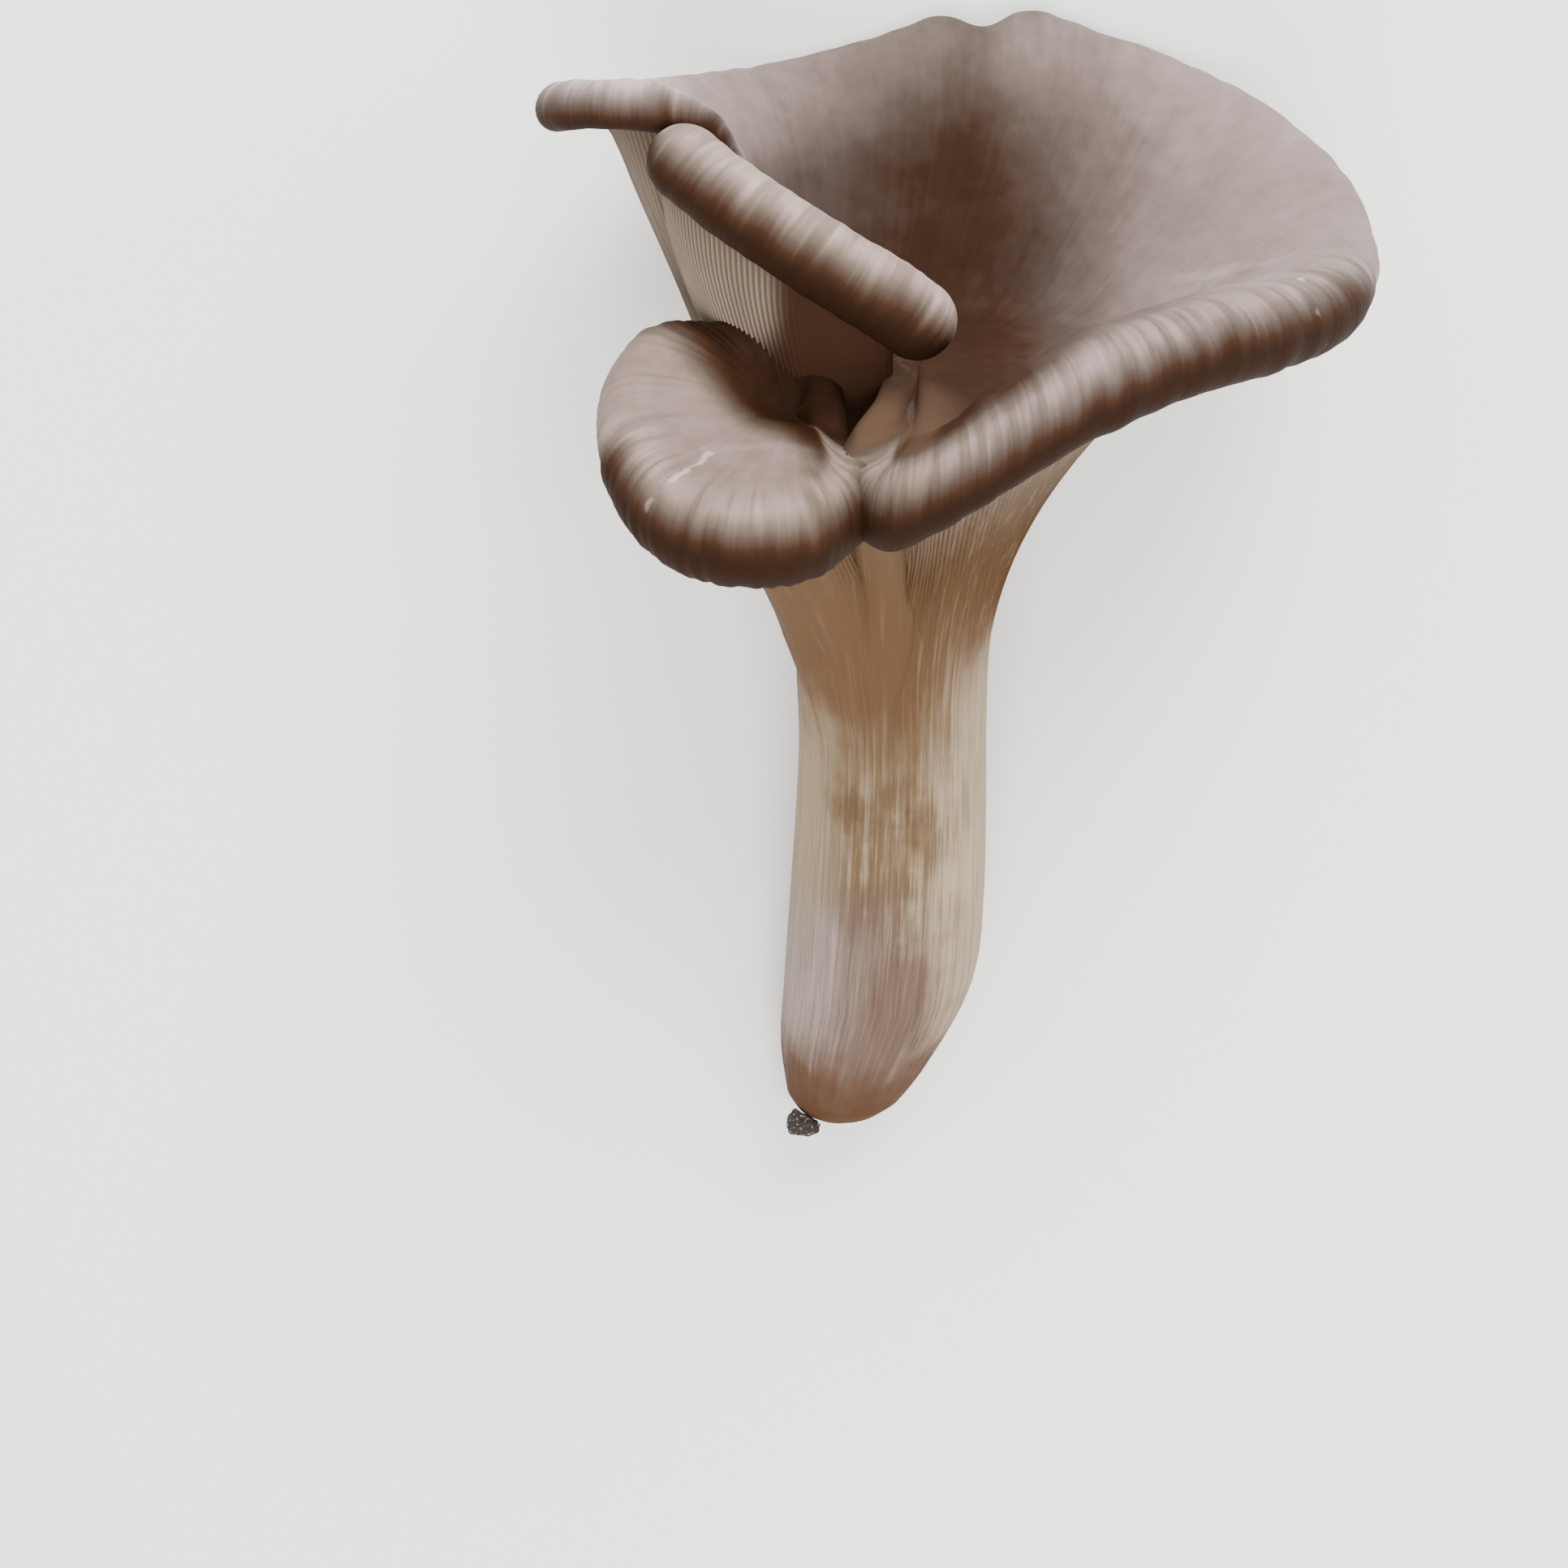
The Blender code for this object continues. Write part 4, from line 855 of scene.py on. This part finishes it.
class Value:
    """A number, vector or colour on its way through a material's nodes."""

    def __init__(self, nodes, socket):
        self.nodes, self.socket = nodes, socket

    def math(self, operation, *operands, clamp=False):
        settings = {"operation": operation, "use_clamp": clamp}
        return self.nodes.add("ShaderNodeMath", settings, dict(enumerate(operands)))

    def vector(self, operation, *operands, output=0):
        inputs = dict(enumerate(operands))
        return self.nodes.add("ShaderNodeVectorMath", {"operation": operation}, inputs, output)

    def __add__(self, other):
        return self.math("ADD", self, other)

    def __sub__(self, other):
        return self.math("SUBTRACT", self, other)

    def __rsub__(self, other):
        return self.math("SUBTRACT", other, self)

    def __mul__(self, other):
        return self.math("MULTIPLY", self, other)

    def __truediv__(self, other):
        return self.math("DIVIDE", self, other)

    def __rtruediv__(self, other):
        return self.math("DIVIDE", other, self)

    def __pow__(self, other):
        return self.math("POWER", self, other)

    __radd__ = __add__
    __rmul__ = __mul__

    def least(self, other):
        return self.math("MINIMUM", self, other)

    def about(self, reach):
        """A noise, which lies round a half, as a number round 0 that reaches half this far."""
        return (self - 0.5) * reach

    def scaled(self, *factors):
        """A vector times a constant for each axis."""
        return self.vector("MULTIPLY", self, factors)

    def moved(self, *offset):
        """A vector plus a constant for each axis."""
        return self.vector("ADD", self, offset)

    def shaken(self, pitch, reach):
        """A place moved this way and that by smooth noise."""
        inputs = {"Vector": self, "Scale": 1 / pitch, "Detail": 2.0}
        shake = self.nodes.add("ShaderNodeTexNoise", {}, inputs, 1).moved(-0.5, -0.5, -0.5)
        return self.vector("ADD", self, shake.scaled(2 * reach, 2 * reach, 2 * reach))

    def from_line(self, start, end):
        """Distance of a place from the straight line between two others."""
        start, along = Vector(start), Vector(end) - Vector(start)
        gone = self.moved(*-start)
        share = self.vector("DOT_PRODUCT", gone, along / along.length_squared, output=1)
        share = self.math("ADD", share, 0.0, clamp=True)
        return self.vector("DISTANCE", gone, self.vector("MULTIPLY", share, along), output=1)

    def part(self, axis):
        return self.nodes.add("ShaderNodeSeparateXYZ", {}, {0: self}, axis)

    def step(self, low, high):
        """0 below low, 1 above high and an S-curve between; low may be above high."""
        settings = {"interpolation_type": "SMOOTHSTEP"}
        if low > high:
            return 1 - self.step(high, low)
        return self.nodes.add("ShaderNodeMapRange", settings, {0: self, 1: low, 2: high})


class Nodes:
    """The nodes of one material, added by type, settings and inputs."""

    def __init__(self, name):
        self.material = bpy.data.materials.new(name)
        self.material.use_nodes = True
        self.tree = self.material.node_tree
        self.shader = self.tree.nodes["Principled BSDF"]

    def add(self, kind, settings, inputs, output=0):
        """A new node with its settings, such as a ramp's stops, and then its inputs."""
        node = self.tree.nodes.new(kind)
        for name, value in settings.items():
            if name == "stops":
                self.place_stops(node.color_ramp.elements, value)
            else:
                setattr(node, name, value)
        self.feed(node, inputs)
        return Value(self, node.outputs[output])

    def place_stops(self, elements, stops):
        for _ in stops[2:]:
            elements.new(0.5)
        for element, (place, paint) in zip(elements, stops):
            element.position, element.color = place, (*paint, 1)

    def feed(self, node, inputs):
        for key, value in inputs.items():
            if isinstance(value, Value):
                self.tree.links.new(value.socket, node.inputs[key])
            else:
                node.inputs[key].default_value = value

    def attribute(self, name, output="Fac"):
        return self.add("ShaderNodeAttribute", {"attribute_name": name}, {}, output)

    def noise(self, vector, scale, detail, roughness):
        inputs = {"Vector": vector, "Scale": scale, "Detail": detail, "Roughness": roughness}
        return self.add("ShaderNodeTexNoise", {}, inputs)

    def mix(self, share, first, second, blend="MIX"):
        """From the first colour to the second by the share."""
        colours = [c if isinstance(c, Value) else (*c, 1) for c in (first, second)]
        settings = {"data_type": "RGBA", "blend_type": blend}
        return self.add("ShaderNodeMix", settings, {0: share, 6: colours[0], 7: colours[1]}, 2)

    def ramp(self, value, stops):
        """The colour at a value, through colours placed at rising values from 0 to 1."""
        return self.add("ShaderNodeValToRGB", {"stops": stops}, {0: value})

    def bump(self, height, distance):
        return self.add("ShaderNodeBump", {}, {"Height": height, "Distance": distance})


def spot(nodes, grown, x, z, wide, tall, seed):
    """1 inside a ragged, soft-edged spot of the front at that x and height, 0 outside."""
    dx, dz = (grown.part(0) - x) / wide, (grown.part(2) - z) / tall
    ragged = nodes.noise(grown.moved(seed, seed, seed).scaled(1.0, 1.0, 0.5), *RAGGED)
    far = (dx * dx + dz * dz) ** 0.5 + ragged.about(2.4)
    return far.step(1.35, 0.25) * grown.part(1).step(4.0, -6.0)


def line_share(grown, lines, width):
    """1 on any of the lines, 0 further from it than the width."""
    far = None
    for line in lines:
        for start, end in zip(line, line[1:]):
            away = grown.from_line(start, end)
            far = away if far is None else far.least(away)
    return far.step(width, 0.3 * width)


def top_colour(nodes, colours, pitch):
    """Colour above the margin, with the height of its stripes and of its streaks: a tone for each place
    from dark brown to pale bloom, with painted light and shade in it, stripes across the roll, its dark
    lower side, partly painted shade, cracks."""
    grown, fibre = nodes.attribute("grown", "Vector"), nodes.attribute("fibre", "Vector")
    tone, rim = nodes.attribute("tone"), nodes.attribute("rim")
    stripe = nodes.noise(fibre.scaled(1 / pitch, 1 / pitch, 0.05 / pitch), 1.0, 2.0, 0.6)
    streak = nodes.noise(fibre.scaled(STREAK[0], *STREAK), 1.0, 3.0, 0.6)
    cloud, velvet = nodes.noise(grown, *CAP_CLOUDS), nodes.noise(grown, *VELVET)
    near = rim.step(*STRIPED)
    light = tone + cloud.about(0.24) + velvet.about(0.16) + streak.about(0.13 + near * 0.13)
    light = light - stripe.step(0.42, 0.62) * near * STRIPE_DEPTH + near * 0.08
    # The roll's dark lower side: partly its darker skin, partly painted shade
    rolled = (rim + stripe.about(3.0) + streak.about(4.0)).step(*DARK_SIDE)
    light = DARKEST + (light - DARKEST) * rolled
    shaken = grown.shaken(*SHAKE)
    for lines, width, paleness in ((PALE_LINES, 2.0, 0.06), (CRACKS, 0.85, 0.34)):
        light = light + line_share(shaken, lines, width) * paleness
    paints = (colours.shade, colours.throat, colours.skin, colours.fawn, colours.bloom, colours.frost)
    top = nodes.ramp(light / TONE_SPAN, [(place / 5, paint) for place, paint in enumerate(paints)])
    x, y, z = (grown.part(axis) for axis in range(3))
    top = nodes.mix(y.step(*WARM_Y) * x.step(*WARM_X) * 0.7, top, WARM_TINT, "MULTIPLY")
    lip = y.step(*LIP_Y) * x.step(*LIP_RIGHT) * x.step(*LIP_LEFT) * z.step(*LIP_Z)
    top = nodes.mix(lip * tone.step(0.6, 0.3) * 0.75, top, colours.lip)
    return top, stripe * near, streak * near


def stem_colour(nodes, colours):
    """Colour of the fibrous stem, with its fine and coarse fibres: brown foot, grey brown and cool
    white fibres low down, light brown with pale patches and brown blotches in the middle, tan
    under the cap, partly painted shade, and cream up both sides, partly painted light."""
    grown, around = nodes.attribute("grown", "Vector"), nodes.attribute("around", "Vector")
    x, height = grown.part(0), grown.part(2)
    fine = nodes.noise(around.scaled(1.0, 1.0, FINE_LENGTH), *FINE_FIBRES)
    coarse = nodes.noise(around.scaled(1.0, 1.0, COARSE_LENGTH), *COARSE_FIBRES)
    cloud = nodes.noise(grown, *STEM_CLOUDS)
    level = height + coarse.about(14.0) + cloud.about(24.0)
    # Tan under the cap, partly painted shade where the cap shades the stem
    paints = (
        (6.0, colours.stem_foot), (24.0, colours.stem_low), (52.0, colours.stem_low),
        (64.0, colours.stem_middle), (84.0, colours.stem_middle), (98.0, colours.stem_tan))
    stem = nodes.ramp(level / STEM_SPAN, [(z / STEM_SPAN, paint) for z, paint in paints])
    # Cream up both sides: partly pale flesh, partly painted light
    across = around.part(0) + coarse.about(10.0) + fine.about(6.0) + cloud.about(8.0)
    right = across.step(*CREAM_RIGHT) * level.step(*CREAM_RIGHT_TOP)
    left = across.step(*CREAM_LEFT) * level.step(*CREAM_LEFT_TOP) * 0.62
    stem = nodes.mix((right + left) * level.step(*CREAM_FOOT) * 0.9, stem, colours.stem_pale)
    patches = (coarse * 0.55 + fine * 0.45 + cloud.about(0.5)).step(0.42, 0.70)
    patches = patches * level.step(*PATCHED_FOOT) * level.step(*PATCHED_TOP)
    stem = nodes.mix(patches * 0.5, stem, colours.stem_pale)
    for blotch in BLOTCHES:
        stem = nodes.mix(spot(nodes, grown, *blotch) * 0.65, stem, colours.blotch)
    patch = height + coarse.about(22.0) + cloud.about(16.0)
    cool = patch.step(*COOL_FOOT) * patch.step(*COOL_TOP) * fine.step(0.20, 0.66)
    cool = cool * ((x + coarse.about(10.0)).step(*COOL_LEFT) * 0.66 + 0.10)
    stem = nodes.mix(cool, stem, colours.stem_lilac)
    streaks = height.step(*STREAKED) * (1 - x.step(*SMOOTH_LEFT) * height.step(*SMOOTH_FOOT) * 0.7)
    stem = nodes.mix(fine.step(0.5, 0.78) * streaks * 0.30, stem, colours.stem_pale)
    stem = nodes.mix(fine.step(0.50, 0.24) * streaks * 0.32, stem, colours.stem_foot)
    return stem, fine, coarse


def skin_material(colours, sizes):
    """The mushroom's skin: the cap's top above the margin; below it the stem, which turns into
    pale gills with brown valleys of painted shade near the cap, and into painted deep shade where it is
    not lit."""
    nodes = Nodes("mushroom_skin")
    top, stripe, streak = top_colour(nodes, colours, sizes.stripe_pitch / MM)
    stem, fine, coarse = stem_colour(nodes, colours)
    grown, edge = nodes.attribute("grown", "Vector"), nodes.attribute("edge")
    # Painted shade: brown in the valleys between the gills, pale on their ridges
    gills = nodes.mix(nodes.attribute("ridge").step(0.05, 0.8), colours.gill_valley_shade, colours.gill)
    gills = nodes.mix(coarse.step(0.5, 0.75) * 0.3, gills, colours.gill_valley_shade)
    under = nodes.mix((grown.part(2) + coarse.about(20.0)).step(*GILLS_START), stem, gills)
    under = nodes.mix(nodes.attribute("lit").step(0.0, 0.9), colours.throat, under)
    above = edge.step(-0.6, 0.6)
    mottle = nodes.noise(grown, *MOTTLE)
    rough = SKIN_ROUGH + mottle.about(0.12) + (1 - above) * 0.08
    relief = stripe * above * 0.30 + streak * above * 0.06 + fine * (1 - above) * 0.28
    normal = nodes.bump(relief + mottle * 0.05, SKIN_RELIEF * MM)
    nodes.feed(nodes.shader, {
        "Base Color": nodes.mix(above, under, top), "Roughness": rough, "Normal": normal,
        "Specular IOR Level": SKIN_GLOSS})
    return nodes.material


def crumb_material(colours):
    """Damp dark substrate with brown lumps and white specks."""
    nodes = Nodes("dark_substrate_crumb")
    grown = nodes.attribute("grown", "Vector")
    lumps, specks = nodes.noise(grown, *LUMPS), nodes.noise(grown.moved(7, 3, 5), *SPECKS)
    base = nodes.mix(lumps.step(0.45, 0.7), colours.crumb, colours.stem_foot)
    base = nodes.mix(specks.step(0.62, 0.68), base, colours.stem_lilac)
    normal = nodes.bump(lumps, CRUMB_RELIEF * MM)
    nodes.feed(nodes.shader, {"Base Color": base, "Roughness": 0.85, "Normal": normal})
    return nodes.material


def plain_material(name, paint, roughness):
    nodes = Nodes(name)
    nodes.feed(nodes.shader, {"Base Color": (*paint, 1), "Roughness": roughness})
    return nodes.material


def skin():
    """The one skin material that every piece of the fruit body shares."""
    made = bpy.data.materials.get("mushroom_skin")
    return made or skin_material(bpy.context.scene.mushroom_colours, bpy.context.scene.mushroom_sizes)


def place(obj, material, node, slot):
    """Finishes a piece: material, body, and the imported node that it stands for."""
    obj.data.materials.append(material)
    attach(obj, "root")
    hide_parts(node)


def flesh(name, surface):
    """One piece of the fruit body, with the skin that they all share."""
    place(closed_surface(name, surface), skin(), "fruit_body", "mushroom_flesh")


class MUSHROOM_OT_main_cap(bpy.types.Operator):
    """Stem and large funnel-shaped cap with gills and a rolled margin"""
    bl_idname = "mushroom.main_cap"
    bl_label = "Main Cap and Stem"

    def execute(self, context):
        profile = [(z, FOOT_SHIFT * shift, 0.0, STEM_RADIUS * share) for z, shift, share in STEM_PROFILE]
        sizes = context.scene.mushroom_sizes
        flesh("main_cap", cap_surface(MAIN_MARGIN, MAIN_WALL, profile, MAIN_FORM, sizes))
        return {"FINISHED"}


class MUSHROOM_OT_side_cap(bpy.types.Operator):
    """Small second cap that grows out of the stem at the front left"""
    bl_idname = "mushroom.side_cap"
    bl_label = "Side Cap"

    def execute(self, context):
        sizes = context.scene.mushroom_sizes
        flesh("side_cap", cap_surface(SIDE_MARGIN, SIDE_WALL, SIDE_NECK, SIDE_FORM, sizes))
        return {"FINISHED"}


class MUSHROOM_OT_fold(bpy.types.Operator):
    """Thick rolled fold across the front, and the gilled stalk that carries it"""
    bl_idname = "mushroom.fold"
    bl_label = "Front Fold"

    def execute(self, context):
        sizes = context.scene.mushroom_sizes
        flesh("front_fold", fold_surface(FOLD_PATH, FOLD_FORM, sizes))
        flesh("fold_stalk", stalk_surface(FOLD_STALK, STALK_FORM, sizes))
        return {"FINISHED"}


class MUSHROOM_OT_web(bpy.types.Operator):
    """Web of flesh that joins the two caps' stems"""
    bl_idname = "mushroom.web"
    bl_label = "Web between the Stems"

    def execute(self, context):
        flesh("stem_web", fold_surface(WEB_PATH, WEB_FORM, context.scene.mushroom_sizes))
        return {"FINISHED"}


class MUSHROOM_OT_crumb(bpy.types.Operator):
    """Crumb of dark growing substrate that sticks to the foot"""
    bl_idname = "mushroom.crumb"
    bl_label = "Substrate Crumb"

    def execute(self, context):
        crumb = closed_surface("crumb", crumb_surface())
        place(crumb, crumb_material(context.scene.mushroom_colours), "substrate_crumb", "dark_substrate")
        return {"FINISHED"}


class MUSHROOM_OT_stage(bpy.types.Operator):
    """Pale floor, soft studio lights and the camera that looks down on the mushroom"""
    bl_idname = "mushroom.stage"
    bl_label = "Studio"

    def light(self, name, power, size, spot):
        lamp = bpy.data.lights.new(name, "AREA")
        lamp.energy, lamp.shape, lamp.size = power, "DISK", size
        obj = bpy.data.objects.new(name, lamp)
        obj.location = spot
        obj.rotation_euler = (Vector(spot) - Vector(LIGHT_TARGET)).to_track_quat("Z", "Y").to_euler()
        bpy.context.scene.collection.objects.link(obj)

    def execute(self, context):
        scene, sizes = context.scene, context.scene.mushroom_sizes
        floor = bpy.data.meshes.new("floor")
        corners = [(x * FLOOR_HALF, y * FLOOR_HALF, 0) for x, y in ((-1, -1), (1, -1), (1, 1), (-1, 1))]
        floor.from_pydata(corners, [], [(0, 1, 2, 3)])
        floor.materials.append(plain_material("pale_floor", FLOOR_PAINT, 0.9))
        floor_object = bpy.data.objects.new("floor", floor)
        scene.collection.objects.link(floor_object)
        self.light("key_light", sizes.key_power, KEY_SIZE, KEY_SPOT)
        self.light("fill_light", sizes.fill_power, FILL_SIZE, FILL_SPOT)
        world = bpy.data.worlds.new("studio")
        world.use_nodes = True
        colour, strength = world.node_tree.nodes["Background"].inputs[:2]
        colour.default_value, strength.default_value = (*WORLD_COLOUR, 1), WORLD_STRENGTH
        scene.world = world
        look_down = math.radians(VIEW_ELEVATION - LYING_TILT)
        camera = bpy.data.cameras.new("camera")
        camera.sensor_width = SENSOR
        camera.lens = FOCAL_PIXELS / IMAGE_PIXELS * SENSOR
        obj = bpy.data.objects.new("camera", camera)
        back = Vector((0, math.sin(look_down), math.cos(look_down)))
        obj.location = Vector(lay_down(VIEW_TARGET)) + back * VIEW_DISTANCE * MM
        obj.rotation_euler = (-look_down, 0, 0)
        scene.collection.objects.link(obj)
        scene.camera = obj
        return {"FINISHED"}


STEPS = (
    MUSHROOM_OT_main_cap, MUSHROOM_OT_side_cap, MUSHROOM_OT_fold, MUSHROOM_OT_web, MUSHROOM_OT_crumb,
    MUSHROOM_OT_stage)


class MUSHROOM_PT_panel(bpy.types.Panel):
    """Sizes, colours and steps of the mushroom"""
    bl_label = "King Oyster Mushroom"
    bl_idname = "MUSHROOM_PT_panel"
    bl_space_type = "VIEW_3D"
    bl_region_type = "UI"
    bl_category = "Mushroom"

    def draw(self, context):
        for group in (context.scene.mushroom_sizes, context.scene.mushroom_colours):
            for name in group.bl_rna.properties.keys():
                if name not in ("rna_type", "name"):
                    self.layout.prop(group, name)
        for step in STEPS:
            self.layout.operator(step.bl_idname)


CLASSES = (MushroomSizes, MushroomColours, *STEPS, MUSHROOM_PT_panel)


def register():
    for cls in CLASSES:
        bpy.utils.register_class(cls)
    bpy.types.Scene.mushroom_sizes = bpy.props.PointerProperty(type=MushroomSizes)
    bpy.types.Scene.mushroom_colours = bpy.props.PointerProperty(type=MushroomColours)


def unregister():
    del bpy.types.Scene.mushroom_colours
    del bpy.types.Scene.mushroom_sizes
    for cls in reversed(CLASSES):
        bpy.utils.unregister_class(cls)


def main():
    register()
    bpy.ops.mushroom.main_cap()
    bpy.ops.mushroom.side_cap()
    bpy.ops.mushroom.fold()
    bpy.ops.mushroom.web()
    bpy.ops.mushroom.crumb()
    bpy.ops.mushroom.stage()


if __name__ == "__main__":
    main()
